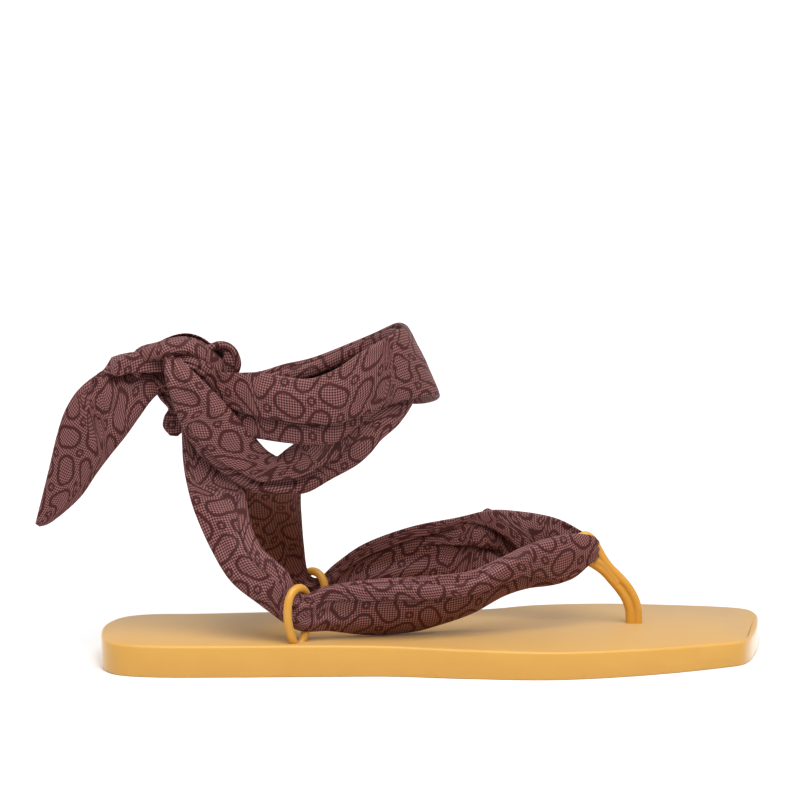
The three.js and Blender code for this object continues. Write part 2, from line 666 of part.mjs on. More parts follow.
const sole = soleSolid().subtract(plugRoom).subtract(loopRoom);
const upper = largestBody(strapsSolid(UPPER_STRAPS, 0).subtract(loopRoom));
const knot = largestBody(strapsSolid(KNOT_STRAPS, 0).subtract(upperRoom));
const tail = largestBody(strapsSolid(TAIL_STRAPS, 0).subtract(upperRoom).subtract(knotRoom));

const sandal = new THREE.Group();
sandal.add(meshOf("sole", sole, RUBBER));
for (const { name, anchor, loop } of rubberPieces) {
  sandal.add(meshOf(name, loop(0).add(plugSolid(anchor)), RUBBER));
}
sandal.add(meshOf("scarf_upper", upper, CLOTH));
sandal.add(meshOf("scarf_knot", knot, CLOTH));
sandal.add(meshOf("scarf_tail", tail, CLOTH));

export default sandal;
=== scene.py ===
# %% [markdown]
# # A thong sandal tied with a scarf
# The real object is one right shoe: a flat moulded rubber sole, a rubber toe post and two rubber
# rings, and one long printed scarf. The scarf runs from the post through the rings, crosses over
# the heel, goes round the ankle and ends in a knot with a hanging tail.
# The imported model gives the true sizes. This lesson dresses it: the rubber is modelled again with
# round edges, and each length of scarf becomes folded cloth.

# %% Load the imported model
import math

import bpy
import numpy as np
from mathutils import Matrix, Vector, noise


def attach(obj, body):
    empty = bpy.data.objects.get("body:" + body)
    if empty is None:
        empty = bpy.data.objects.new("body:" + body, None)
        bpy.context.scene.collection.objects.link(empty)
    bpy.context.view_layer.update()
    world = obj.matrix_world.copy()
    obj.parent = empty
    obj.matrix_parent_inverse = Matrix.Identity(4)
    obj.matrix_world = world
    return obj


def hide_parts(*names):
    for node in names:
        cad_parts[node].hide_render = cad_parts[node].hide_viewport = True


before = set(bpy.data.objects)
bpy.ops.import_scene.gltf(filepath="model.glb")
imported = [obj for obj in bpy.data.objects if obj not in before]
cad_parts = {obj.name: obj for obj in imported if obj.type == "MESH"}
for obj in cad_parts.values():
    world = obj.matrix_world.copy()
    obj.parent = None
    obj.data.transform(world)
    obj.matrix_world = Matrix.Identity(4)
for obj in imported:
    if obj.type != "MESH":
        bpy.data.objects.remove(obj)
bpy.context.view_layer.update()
MM = 0.001
print("nodes:", sorted(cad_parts))

# %% [markdown]
# ## Camera
# The photograph was taken from far away with a long lens, from the shoe's outer side and a little
# above the floor. A camera far off with a long lens keeps the same flat perspective. It stands
# 1.3 m away, a little towards the heel, and is turned a few degrees to the toes.

# %% Camera
CAMERA_PLACE = Vector((-0.11449, -1.27037, 0.27683))
CAMERA_YAW = math.radians(4.5)
CAMERA_PITCH = math.radians(7.9485)
LENS_MM = 153.27
SENSOR_MM = 36

camera = bpy.data.objects.new("camera", bpy.data.cameras.new("camera"))
bpy.context.collection.objects.link(camera)
camera.location = CAMERA_PLACE
sight = Vector(
    (
        math.sin(CAMERA_YAW) * math.cos(CAMERA_PITCH),
        math.cos(CAMERA_YAW) * math.cos(CAMERA_PITCH),
        -math.sin(CAMERA_PITCH),
    )
)
camera.rotation_euler = sight.to_track_quat("-Z", "Y").to_euler()
camera.data.lens = LENS_MM
camera.data.sensor_width = SENSOR_MM
bpy.context.scene.camera = camera
print("camera looks along", [round(x, 3) for x in sight])

# %% [markdown]
# ## Materials
# Every material is built from nodes. One small function adds a node, sets its values and joins its
# inputs, and one turns a web colour into the linear light that Blender works in.


# %% Material helpers
def linear(web_colour):
    channels = [int(web_colour[i : i + 2], 16) / 255 for i in (1, 3, 5)]
    light = [c / 12.92 if c <= 0.04045 else ((c + 0.055) / 1.055) ** 2.4 for c in channels]
    return (*light, 1.0)


def new_material(name):
    material = bpy.data.materials.new(name)
    material.use_nodes = True
    tree = material.node_tree
    return material, tree, tree.nodes["Principled BSDF"]


def add_node(tree, kind, settings=None, **inputs):
    """A node with its settings, input values and links. An input named in_0 is the first one."""
    node = tree.nodes.new(kind)
    for key, value in (settings or {}).items():
        setattr(node, key, value)
    for key, value in inputs.items():
        which = int(key[3:]) if key.startswith("in_") else key.replace("_", " ")
        socket = node.inputs[which]
        if isinstance(value, bpy.types.NodeSocket):
            tree.links.new(value, socket)
        else:
            socket.default_value = value
    return node


def maths(tree, operation, *values, clamp=False):
    inputs = {f"in_{i}": value for i, value in enumerate(values)}
    settings = {"operation": operation, "use_clamp": clamp}
    return add_node(tree, "ShaderNodeMath", settings, **inputs).outputs[0]


def mixed(tree, share, first, second):
    """A colour between two, by a share from 0 to 1."""
    node = add_node(
        tree, "ShaderNodeMix", {"data_type": "RGBA"}, in_0=share, in_6=first, in_7=second
    )
    return node.outputs[2]


# %% [markdown]
# ## Rubber
# The sole is expanded rubber, moulded in a tool with a faint sand-blasted face. It is matt, mustard
# yellow and slightly cloudy in colour. Its fine grain catches the light at a glance and gives the
# footbed a pale bloom when it is seen from low down: that is the sheen. The post and the rings are
# solid rubber: smoother, a little more orange, with a soft shine. The tool's grain is 0.45 mm wide
# and drawn as bump.

# %% Rubber materials
SOLE_YELLOW = "#D2A454"
SOLE_YELLOW_DEEP = "#CA9848"
RING_YELLOW = "#D5A047"
RING_YELLOW_DEEP = "#C38E31"
SAND_GRAIN_MM = 0.45
CLOUD_MM = 14
CLOUD_SHARE = 0.8
GRAIN_SHARE = 0.5
SHADE_OFFSET = 0.25
GRAIN_ROUGHNESS = 0.12


def rubber(name, light, deep, roughness, grain_height_mm, coat, sheen):
    material, tree, shader = new_material(name)
    place = add_node(tree, "ShaderNodeTexCoord").outputs["Object"]
    cloud = add_node(
        tree, "ShaderNodeTexNoise", Vector=place, Scale=1 / (CLOUD_MM * MM), Detail=3.0
    ).outputs["Fac"]
    grain = add_node(
        tree, "ShaderNodeTexNoise", Vector=place, Scale=1 / (SAND_GRAIN_MM * MM), Detail=2.0
    ).outputs["Fac"]
    share = maths(tree, "MULTIPLY", cloud, CLOUD_SHARE)
    speckle = maths(tree, "MULTIPLY_ADD", grain, GRAIN_SHARE, share)
    shade = maths(tree, "SUBTRACT", speckle, SHADE_OFFSET, clamp=True)
    tree.links.new(mixed(tree, shade, linear(light), linear(deep)), shader.inputs["Base Color"])
    smoothest = roughness - GRAIN_ROUGHNESS / 2
    rough = maths(tree, "MULTIPLY_ADD", grain, GRAIN_ROUGHNESS, smoothest)
    tree.links.new(rough, shader.inputs["Roughness"])
    bump = add_node(
        tree, "ShaderNodeBump", Height=grain, Strength=0.5, Distance=grain_height_mm * MM
    )
    tree.links.new(bump.outputs["Normal"], shader.inputs["Normal"])
    shader.inputs["IOR"].default_value = 1.5
    shader.inputs["Subsurface Weight"].default_value = 0.05
    shader.inputs["Subsurface Radius"].default_value = (0.002, 0.001, 0.0005)
    shader.inputs["Coat Weight"].default_value = coat
    shader.inputs["Coat Roughness"].default_value = 0.45
    shader.inputs["Sheen Weight"].default_value = sheen
    shader.inputs["Sheen Roughness"].default_value = 0.35
    return material


footbed_rubber = rubber(
    "expanded_rubber_footbed", SOLE_YELLOW, SOLE_YELLOW_DEEP,
    roughness=0.5, grain_height_mm=0.05, coat=0.0, sheen=0.85,
)
ring_rubber = rubber(
    "solid_rubber_cord", RING_YELLOW, RING_YELLOW_DEEP,
    roughness=0.38, grain_height_mm=0.02, coat=0.1, sheen=0.3,
)
print("rubber materials:", footbed_rubber.name, ring_rubber.name)

# %% [markdown]
# ## Printed twill
# The scarf is thin polyester twill. Its print is a fine halftone of pale pink dots on maroon, which
# reads as mauve from afar, and over it plain maroon loops shaped like beans. They stand in a
# chequered layout, every second one turned by a quarter, with a small ring at each corner between
# them. The print is worked out from the cloth's own UV map, which is measured in metres along and
# across the scarf, so that it follows every fold. The dots are 1 mm apart and the loops 12.5 mm.

# %% Twill material
CLOTH_LINE = "#482120"
CLOTH_DARK = "#421E1C"
CLOTH_PALE = "#926664"
CLOTH_HEM = "#9A716E"
DOT_PITCH_MM = 1.0
LOOP_PITCH_MM = 12.5
LOOP_RADIUS_MM = 4.7
LOOP_WAIST_SHARE = 0.24
LINE_MM = 1.3
SMALL_RING_RADIUS_MM = 1.3
SMALL_LINE_MM = 0.9
PRINT_TURN = math.radians(28)
THREAD_MM = 0.35
THREAD_DEPTH_MM = 0.03
HEM_SHARE = 0.008
HEM_STRENGTH = 0.7
LINE_SOFTNESS_MM = 0.25
DOT_START = -0.6
DOT_FULL = 0.7
TURN = 2 * math.pi


def near(tree, distance, half_width, softness):
    """1 where a distance is under the half width, with a soft edge."""
    node = add_node(
        tree,
        "ShaderNodeMapRange",
        {"interpolation_type": "SMOOTHSTEP"},
        in_0=distance,
        in_1=half_width - softness,
        in_2=half_width + softness,
        in_3=1.0,
        in_4=0.0,
    )
    return node.outputs[0]


def product(tree, first, second):
    return maths(tree, "MULTIPLY", first, second)


def loops(tree, along, across):
    """The drawn loops and small rings: 1 on a line and 0 beside it."""
    cosine, sine = math.cos(PRINT_TURN), math.sin(PRINT_TURN)
    turned = []
    for a, b in ((cosine, sine), (-sine, cosine)):
        sideways = product(tree, across, b / LOOP_PITCH_MM)
        turned.append(maths(tree, "MULTIPLY_ADD", along, a / LOOP_PITCH_MM, sideways))
    cells = [maths(tree, "FLOOR", value) for value in turned]
    local = [
        product(tree, maths(tree, "SUBTRACT", maths(tree, "FRACT", value), 0.5), LOOP_PITCH_MM)
        for value in turned
    ]
    odd = maths(tree, "PINGPONG", maths(tree, "ADD", *cells), 1.0)
    sign = maths(tree, "MULTIPLY_ADD", odd, 2.0, -1.0)
    x2, y2 = (product(tree, value, value) for value in local)
    squares = maths(tree, "ADD", maths(tree, "ADD", x2, y2), 0.0001)
    double_angle = maths(tree, "DIVIDE", maths(tree, "SUBTRACT", x2, y2), squares)
    waist = product(tree, product(tree, double_angle, sign), LOOP_WAIST_SHARE * LOOP_RADIUS_MM)
    edge = maths(tree, "ADD", waist, LOOP_RADIUS_MM)
    off_loop = maths(tree, "ABSOLUTE", maths(tree, "SUBTRACT", maths(tree, "SQRT", squares), edge))
    corner = [
        maths(tree, "SUBTRACT", maths(tree, "ABSOLUTE", value), LOOP_PITCH_MM / 2)
        for value in local
    ]
    corner_squares = maths(tree, "ADD", *(product(tree, value, value) for value in corner))
    off_corner = maths(tree, "SUBTRACT", maths(tree, "SQRT", corner_squares), SMALL_RING_RADIUS_MM)
    off_ring = maths(tree, "ABSOLUTE", off_corner)
    on_loop = near(tree, off_loop, LINE_MM / 2, LINE_SOFTNESS_MM)
    on_ring = near(tree, off_ring, SMALL_LINE_MM / 2, LINE_SOFTNESS_MM)
    return maths(tree, "MAXIMUM", on_loop, on_ring)


def halftone(tree, along, across):
    """Pale dots in a square grid, 1 in a dot's middle and 0 between dots."""
    waves = [
        maths(tree, "COSINE", product(tree, value, TURN / DOT_PITCH_MM))
        for value in (along, across)
    ]
    dots = add_node(
        tree,
        "ShaderNodeMapRange",
        {"interpolation_type": "SMOOTHSTEP"},
        in_0=maths(tree, "ADD", *waves),
        in_1=DOT_START,
        in_2=DOT_FULL,
        in_3=0.0,
        in_4=1.0,
    )
    return dots.outputs[0]


def printed_twill():
    material, tree, shader = new_material("printed_polyester_twill")
    cloth_map = add_node(tree, "ShaderNodeUVMap", {"uv_map": "cloth"}).outputs["UV"]
    split = add_node(tree, "ShaderNodeSeparateXYZ", Vector=cloth_map)
    along = product(tree, split.outputs["X"], 1 / MM)
    across = product(tree, split.outputs["Y"], 1 / MM)
    ground = mixed(tree, halftone(tree, along, across), linear(CLOTH_DARK), linear(CLOTH_PALE))
    printed = mixed(tree, loops(tree, along, across), ground, linear(CLOTH_LINE))

    hem_map = add_node(tree, "ShaderNodeUVMap", {"uv_map": "hem"}).outputs["UV"]
    hem_y = add_node(tree, "ShaderNodeSeparateXYZ", Vector=hem_map).outputs["Y"]
    from_edge = maths(tree, "PINGPONG", hem_y, 0.5)
    hem = product(tree, near(tree, from_edge, HEM_SHARE, HEM_SHARE / 3), HEM_STRENGTH)
    tree.links.new(mixed(tree, hem, printed, linear(CLOTH_HEM)), shader.inputs["Base Color"])

    diagonal = product(tree, maths(tree, "ADD", along, across), TURN / THREAD_MM)
    weave = maths(tree, "SINE", diagonal)
    bump = add_node(
        tree, "ShaderNodeBump", Height=weave, Strength=0.25, Distance=THREAD_DEPTH_MM * MM
    )
    tree.links.new(bump.outputs["Normal"], shader.inputs["Normal"])
    shader.inputs["Roughness"].default_value = 0.62
    shader.inputs["IOR"].default_value = 1.45
    shader.inputs["Specular IOR Level"].default_value = 0.35
    shader.inputs["Sheen Weight"].default_value = 0.15
    shader.inputs["Sheen Roughness"].default_value = 0.4
    shader.inputs["Sheen Tint"].default_value = (0.9, 0.65, 0.68, 1.0)
    return material


twill_cloth = printed_twill()
print("cloth material has", len(twill_cloth.node_tree.nodes), "nodes")

# %% [markdown]
# ## Sole
# The real sole is cut and moulded from one slab, 12 mm thick under the heel and 9 mm at the toes,
# with a small round on its upper edge. It is modelled as a slab is made: a flat circle of points is
# pulled onto the outline, extruded to a slab, cut across so that its top can slope, and bevelled.

# %% Sizes of the sole
SOLE_LENGTH = 256
BALL_WIDTH = 92.2
HEEL_WIDTH = 62
HEEL_END_SHARE = -0.6
BALL_START_SHARE = 0.3
HEEL_THICKNESS = 12
TOE_THICKNESS = 9
TOP_EDGE_ROUND = 1.1
BOTTOM_EDGE_ROUND = 0.6
TOP_EDGE_STEPS = 4
BOTTOM_EDGE_STEPS = 2
OUTLINE_STEPS = 8
HALF_LENGTH = SOLE_LENGTH / 2
HALF_BALL = BALL_WIDTH / 2

# The outline: fore, a share of the half length, and side, a share of the half width there
SOLE_OUTLINE = [
    (-1.0, 0.0), (-0.993, -0.5), (-0.953, -0.784), (-0.86, -0.94), (-0.664, -1.02),
    (-0.37, -1.0), (-0.164, -0.916), (0.047, -0.949), (0.32, -0.991), (0.609, -0.855),
    (0.828, -0.636), (0.88, -0.56), (0.91, -0.44), (0.95, -0.12), (0.985, 0.29), (1.0, 0.6),
    (0.985, 0.78), (0.927, 0.881), (0.708, 0.972), (0.559, 1.009), (0.332, 0.948),
    (0.177, 0.795), (-0.05, 0.74), (-0.352, 0.93), (-0.703, 0.968), (-0.87, 0.97),
    (-0.94, 0.81), (-0.985, 0.45),
]

# Where the slab thins: fore, and a share that is 1 for the heel's thickness and 0 for the toe's
SOLE_TAPER = [
    (-1.0, 1.0), (-0.34, 1.0), (-0.06, 0.77), (0.24, 0.57), (0.5, 0.43), (0.72, 0.27),
    (0.9, 0.07), (1.0, 0.0),
]


def half_width(fore):
    t = min(1, max(0, (fore - HEEL_END_SHARE) / (BALL_START_SHARE - HEEL_END_SHARE)))
    return (HEEL_WIDTH + (BALL_WIDTH - HEEL_WIDTH) * t * t * (3 - 2 * t)) / 2


def sole_thickness(x_mm):
    fore, share = zip(*SOLE_TAPER)
    taper = np.interp(x_mm / HALF_LENGTH, fore, share)
    return TOE_THICKNESS + (HEEL_THICKNESS - TOE_THICKNESS) * taper


def smooth_loop(knots, steps):
    """A closed curve through the knots whose speed follows the gaps between them."""
    count = len(knots)
    points = []
    for i in range(count):
        a, b, c, d = (np.array(knots[(i + k) % count]) for k in (-1, 0, 1, 2))
        pairs = ((a, b), (b, c), (c, d))
        gap_ab, gap_bc, gap_cd = (math.sqrt(np.linalg.norm(q - p)) for p, q in pairs)
        leave = (b - a) / gap_ab - (c - a) / (gap_ab + gap_bc) + (c - b) / gap_bc
        arrive = (c - b) / gap_bc - (d - b) / (gap_bc + gap_cd) + (d - c) / gap_cd
        for step in range(steps):
            t = step / steps
            points.append(
                b * (2 * t**3 - 3 * t**2 + 1)
                + c * (3 * t**2 - 2 * t**3)
                + leave * gap_bc * (t**3 - 2 * t**2 + t)
                + arrive * gap_bc * (t**3 - t**2)
            )
    return points


outline_knots = [(f * HALF_LENGTH, s * half_width(f)) for f, s in SOLE_OUTLINE]
outline = smooth_loop(outline_knots, OUTLINE_STEPS)
print("outline has", len(outline), "points")


# %% Modelling helpers
def deselect_all():
    bpy.ops.object.select_all(action="DESELECT")


def select_only(piece):
    deselect_all()
    piece.select_set(True)
    bpy.context.view_layer.objects.active = piece


def finish_modifier(piece, kind, name, **settings):
    """Add a modifier and apply it."""
    modifier = piece.modifiers.new(name, kind)
    for key, value in settings.items():
        setattr(modifier, key, value)
    bpy.context.view_layer.objects.active = piece
    bpy.ops.object.modifier_apply(modifier=modifier.name)


def put_place_in_mesh(piece):
    select_only(piece)
    bpy.ops.object.transform_apply(location=True, rotation=True, scale=True)


def dress(piece, material, slot, *nodes):
    """Give a finished piece its material and its body, and hide the nodes that it stands for. The
    slot is not used.
    """
    piece.data.materials.clear()
    piece.data.materials.append(material)
    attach(piece, "root")
    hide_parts(*nodes)
    triangles = sum(len(face.vertices) - 2 for face in piece.data.polygons)
    size = [round(x * 1000, 1) for x in piece.dimensions]
    print(f"{piece.name}: {triangles} triangles, {size} mm")


# %% Model the sole
SLAB_CUTS = 44
deselect_all()
bpy.ops.mesh.primitive_circle_add(vertices=len(outline), radius=0.05, fill_type="NGON")
sole = bpy.context.object
sole.name = "sole_slab"
for vertex, point in zip(sole.data.vertices, outline):
    vertex.co = (point[0] * MM, point[1] * MM, 0)
bpy.ops.object.mode_set(mode="EDIT")
bpy.ops.mesh.select_all(action="SELECT")
bpy.ops.mesh.extrude_region_move(TRANSFORM_OT_translate={"value": (0, 0, HEEL_THICKNESS * MM)})
for cut in range(2, SLAB_CUTS - 1):
    x = (cut / SLAB_CUTS * 2 - 1) * HALF_LENGTH * MM
    bpy.ops.mesh.select_all(action="SELECT")
    bpy.ops.mesh.bisect(plane_co=(x, 0, 0), plane_no=(1, 0, 0))
bpy.ops.mesh.select_all(action="SELECT")
bpy.ops.mesh.remove_doubles(threshold=0.00001)
bpy.ops.mesh.normals_make_consistent(inside=False)
bpy.ops.object.mode_set(mode="OBJECT")
for vertex in sole.data.vertices:
    if vertex.co.z > HEEL_THICKNESS / 2 * MM:
        vertex.co.z = sole_thickness(vertex.co.x / MM) * MM
print("slab has", len(sole.data.polygons), "faces")

# %% Round the sole's edges
# The rim is every edge between a side face and the top or the bottom.
SIDE_NORMAL_LIMIT = 0.6


def select_rim(piece, upper):
    mesh = piece.data
    flat_edges = {}
    for face in mesh.polygons:
        for key in face.edge_keys:
            flat_edges.setdefault(key, []).append(abs(face.normal.z) > SIDE_NORMAL_LIMIT)
    for edge in mesh.edges:
        kinds = flat_edges[edge.key]
        high = mesh.vertices[edge.vertices[0]].co.z > TOE_THICKNESS / 2 * MM
        edge.select = len(set(kinds)) == 2 and high == upper


EDGE_ROUNDS = (
    (True, TOP_EDGE_ROUND, TOP_EDGE_STEPS),
    (False, BOTTOM_EDGE_ROUND, BOTTOM_EDGE_STEPS),
)
for upper, radius, segments in EDGE_ROUNDS:
    bpy.ops.object.mode_set(mode="EDIT")
    bpy.ops.mesh.select_mode(type="EDGE")
    bpy.ops.mesh.select_all(action="DESELECT")
    bpy.ops.object.mode_set(mode="OBJECT")
    select_rim(sole, upper)
    bpy.ops.object.mode_set(mode="EDIT")
    bpy.ops.mesh.bevel(offset=radius * MM, segments=segments, profile=0.5, affect="EDGES")
bpy.ops.object.mode_set(mode="OBJECT")
print("bevelled slab has", len(sole.data.polygons), "faces")

# %% [markdown]
# ## Plugs below the footbed
# The post and the rings are pushed up through holes, and a flat plug on each stays in a recess of
# the underside. The recess and hole are cut out of the slab with plain cylinders.

# %% Where the rubber pieces stand
CORD_RADIUS = 1.6
POST_CORD_RADIUS = 1.75
STEM_RADIUS = 3.2
PLUG_RADIUS = 4.5
PLUG_THICKNESS = 2.2
PLUG_LIFT = 0.4
CLEARANCE = 0.3
SOLE_SMOOTH_ANGLE = math.radians(35)
ANCHORS = {
    "toe_post": (0.598, 0.161),
    "lateral_ring": (-0.427, -0.579),
    "medial_ring": (-0.36, 0.535),
}


def foot_of(name):
    fore, side = ANCHORS[name]
    x = fore * HALF_LENGTH
    return Vector((x, side * HALF_BALL, sole_thickness(x)))


def cylinder(name, radius, low, high, centre):
    deselect_all()
    bpy.ops.mesh.primitive_cylinder_add(
        vertices=48,
        radius=radius * MM,
        depth=(high - low) * MM,
        location=(centre.x * MM, centre.y * MM, (low + high) / 2 * MM),
    )
    piece = bpy.context.object
    piece.name = name
    put_place_in_mesh(piece)
    return piece


for name in ANCHORS:
    foot = foot_of(name)
    shoulder = PLUG_LIFT + PLUG_THICKNESS + CLEARANCE
    for radius, top in ((PLUG_RADIUS, shoulder), (STEM_RADIUS, foot.z - 2 * CLEARANCE)):
        cutter = cylinder("cutter", radius + CLEARANCE, -1, top, foot)
        finish_modifier(
            sole, "BOOLEAN", "hole", operation="DIFFERENCE", object=cutter, solver="EXACT"
        )
        bpy.data.objects.remove(cutter)
select_only(sole)
bpy.ops.object.shade_smooth_by_angle(angle=SOLE_SMOOTH_ANGLE)
dress(sole, footbed_rubber, "footbed_rubber", "sole")

# %% [markdown]
# ## Rings and toe post
# Each ring is a closed cord of rubber, 3.2 mm thick, pear-shaped and narrower at the sole. The toe
# post is two slightly thicker cords with a web between them, fused into one. A curve with a round
# section is how a cord is drawn, and it is turned into a mesh and joined to its plug.

# %% Sizes of the cords
RING_HEIGHT = 22
RING_WIDTH = 13.6
RING_TURN = math.radians(45)
RING_LOW_SHARE = 0.62
RING_HIGH_SHARE = 1.05
RING_LIFT = {"lateral_ring": 1.0, "medial_ring": 0.84}
RING_POINTS = 48
POST_REACH = 24
POST_RISE = 35
CORD_SIDES = 6
RING_SMOOTH_ANGLE = math.radians(40)
LEG_STEPS = 5
POST_VOXEL_MM = 0.25

# The post's legs: back, a share of the reach, and rise, a share of the rise above the footbed
POST_FRONT_LEG = [
    (-0.06, -0.06), (-0.06, 0.06), (-0.055, 0.16), (0.0, 0.28), (0.11, 0.41), (0.255, 0.525),
    (0.4, 0.625), (0.515, 0.735), (0.6, 0.84), (0.68, 0.935), (0.79, 0.985), (0.9, 0.96),
]
POST_REAR_LEG = [
    (0.06, -0.06), (0.065, 0.06), (0.075, 0.15), (0.12, 0.25), (0.215, 0.36), (0.345, 0.47),
    (0.48, 0.575), (0.62, 0.65), (0.77, 0.71), (0.89, 0.79), (0.94, 0.88), (0.9, 0.96),
]
# The web between the legs, up to the scarf
POST_WEB = [
    (0.27, 0.45), (0.34, 0.51), (0.42, 0.585), (0.49, 0.645), (0.55, 0.68), (0.6, 0.7),
    (0.645, 0.712),
]


def smooth_path(knots, steps):
    """An open curve through the knots."""
    knots = np.array(knots, dtype=float)
    times = np.linspace(0, len(knots) - 1, (len(knots) - 1) * steps + 1)
    return between_rows(knots, times)


def between_rows(rows, times):
    """Rows of a table read at times between them, on a smooth curve through the rows."""
    last = len(rows) - 1
    index = np.clip(np.floor(times).astype(int), 0, last - 1)
    w = (times - index)[:, None]
    a, b, c, d = (rows[np.clip(index + k, 0, last)] for k in (-1, 0, 1, 2))
    leave, arrive = (c - a) / 2, (d - b) / 2
    return (
        b * (2 * w**3 - 3 * w**2 + 1)
        + leave * (w**3 - 2 * w**2 + w)
        + c * (3 * w**2 - 2 * w**3)
        + arrive * (w**3 - w**2)
    )


def cord(name, points, radius, closed):
    """A round rubber cord along points given in millimetres, as a mesh."""
    curve = bpy.data.curves.new(name, "CURVE")
    curve.dimensions = "3D"
    curve.bevel_depth = radius * MM
    curve.bevel_resolution = CORD_SIDES
    curve.use_fill_caps = not closed
    spline = curve.splines.new("POLY")
    spline.points.add(len(points) - 1)
    for target, point in zip(spline.points, points):
        target.co = (*(x * MM for x in point), 1)
    spline.use_cyclic_u = closed
    piece = bpy.data.objects.new(name, curve)
    bpy.context.collection.objects.link(piece)
    select_only(piece)
    bpy.ops.object.convert(target="MESH")
    return bpy.context.object


def ring_points(foot, turn, lift):
    """A drop-shaped loop; the scarf presses the inner ring down, so it keeps less of its height."""
    points = []
    for i in range(RING_POINTS):
        angle = i / RING_POINTS * 2 * math.pi
        raised = (1 - math.cos(angle)) / 2
        shape = RING_LOW_SHARE + (RING_HIGH_SHARE - RING_LOW_SHARE) * raised
        out = math.sin(angle) * shape * RING_WIDTH / 2
        height = raised * RING_HEIGHT * lift - CORD_RADIUS
        x, y = foot.x + math.cos(turn) * out, foot.y + math.sin(turn) * out
        points.append((x, y, foot.z + height))
    return points


def leg_points(foot, leg):
    places = [(foot.x - back * POST_REACH, foot.y, foot.z + rise * POST_RISE) for back, rise in leg]
    return smooth_path(places, LEG_STEPS)


def plug(name):
    foot = foot_of(name)
    shoulder = PLUG_LIFT + PLUG_THICKNESS
    wide = cylinder(name + "_plug", PLUG_RADIUS, PLUG_LIFT, shoulder, foot)
    stem = cylinder(name + "_stem", STEM_RADIUS, shoulder - 1, foot.z - 4 * CLEARANCE, foot)
    return [wide, stem]


def joined(name, pieces):
    deselect_all()
    for piece in pieces:
        piece.select_set(True)
    bpy.context.view_layer.objects.active = pieces[0]
    bpy.ops.object.join()
    piece = bpy.context.object
    piece.name = name
    return piece


# %% Model the rings and the post
for name, turn in (("lateral_ring", RING_TURN), ("medial_ring", -RING_TURN)):
    centres = ring_points(foot_of(name), turn, RING_LIFT[name])
    loop = cord(name + "_loop", centres, CORD_RADIUS, True)
    ring = joined(name + "_cord", [loop, *plug(name)])
    bpy.ops.object.shade_smooth_by_angle(angle=RING_SMOOTH_ANGLE)
    dress(ring, ring_rubber, "ring_rubber", name)

post_foot = foot_of("toe_post")
legs = [
    cord("post_leg", leg_points(post_foot, leg), POST_CORD_RADIUS, False)
    for leg in (POST_FRONT_LEG, POST_REAR_LEG, POST_WEB)
]
post = joined("toe_post_legs", [*legs, *plug("toe_post")])
finish_modifier(post, "REMESH", "fuse", mode="VOXEL", voxel_size=POST_VOXEL_MM * MM)
finish_modifier(post, "SMOOTH", "soften", factor=0.5, iterations=6)
select_only(post)
bpy.ops.object.shade_smooth()
dress(post, ring_rubber, "ring_rubber", "toe_post")

# %% [markdown]
# ## The scarf as folded cloth
# A scarf that is pulled through rings is a flat tube: the cloth starts at a hem behind, rolls over
# one edge of the strap, crosses the front with a few laps, rolls over the other edge and ends
# behind. Each strap follows two edge lines, given in tables of shares as in the solid model. A lap
# is a fold where the cloth doubles back under itself. Creases are soft troughs and ridges placed
# one by one. The sheet gets the cloth's thickness at the end, a UV map in metres for the print and
# one that runs from hem to hem.

# %% Sizes of the cloth
SCARF_HEIGHT = 128
CLOTH_THICKNESS = 0.45
ROW_STEPS = 9
REAR_POINTS = 14
FRONT_POINTS = 76
LAP_CURL_MM = 0.8
LAP_FADE_MM = 7.0
LAP_OVERLAP = 1.25
LAP_OVERLAP_LIMIT_MM = 3.2
LAP_LIFT_SHARE = 0.2
LAYER_GAP_MM = 0.9
EDGE_ROUND = 0.75
FINE_SAMPLES = 400
LEAST_DEPTH_MM = 0.2
# Points crowd round a lap's fold: how wide, in curls, and how many times as densely
CROWD_REACH = 2.2
CROWD_DENSITY = 7
# A lap fades out near a strap's edge. Its cloth is drawn across by the pull and drops by the step.
LAP_EDGE_SHARE = 0.06
LAP_PULL = 1.65
LAP_STEP_SLOPE = 3.2
# The back layer has at least this share of a strap's depth free above it
LEAST_ROOM_SHARE = 0.3
# Wrinkles fade at the edges. Their two waves are lengths along and across the strap.
RIPPLE_FADE = 6
WRINKLE_FADE = 2
LONG_WAVE_MM = (26, 6.5)
SHORT_WAVE_MM = (9, 4)
SHORT_WAVE_SHARE = 0.35
# How far each hem reaches behind, where a row doesn't say it: 1 is the whole way across
HEMS = (0.75, 0.9)
SCALE = np.array([HALF_LENGTH, HALF_BALL, SCARF_HEIGHT])


def unit(vectors):
    return vectors / np.maximum(np.linalg.norm(vectors, axis=-1, keepdims=True), 1e-9)


def lap_values(lap, times, width):
    """The middle of a lap's fold across the strap (0 to 1) and its depth, at each time. A lap names
    where its upper layer's edge shows, which lies beyond the middle by half the overlap."""
    known = [row[0] for row in lap]
    across = np.interp(times, known, [row[1] for row in lap])
    depth = np.interp(times, known, [row[2] for row in lap])
    kernel = np.array([1, 2, 3, 2, 1]) / 9
    soften = lambda values: np.convolve(np.pad(values, 2, mode="edge"), kernel, mode="valid")
    across, depth = soften(across), soften(depth)
    reach = np.maximum(0, LAP_OVERLAP * np.minimum(depth, LAP_OVERLAP_LIMIT_MM) - LAP_CURL_MM)
    return across - reach / width, depth


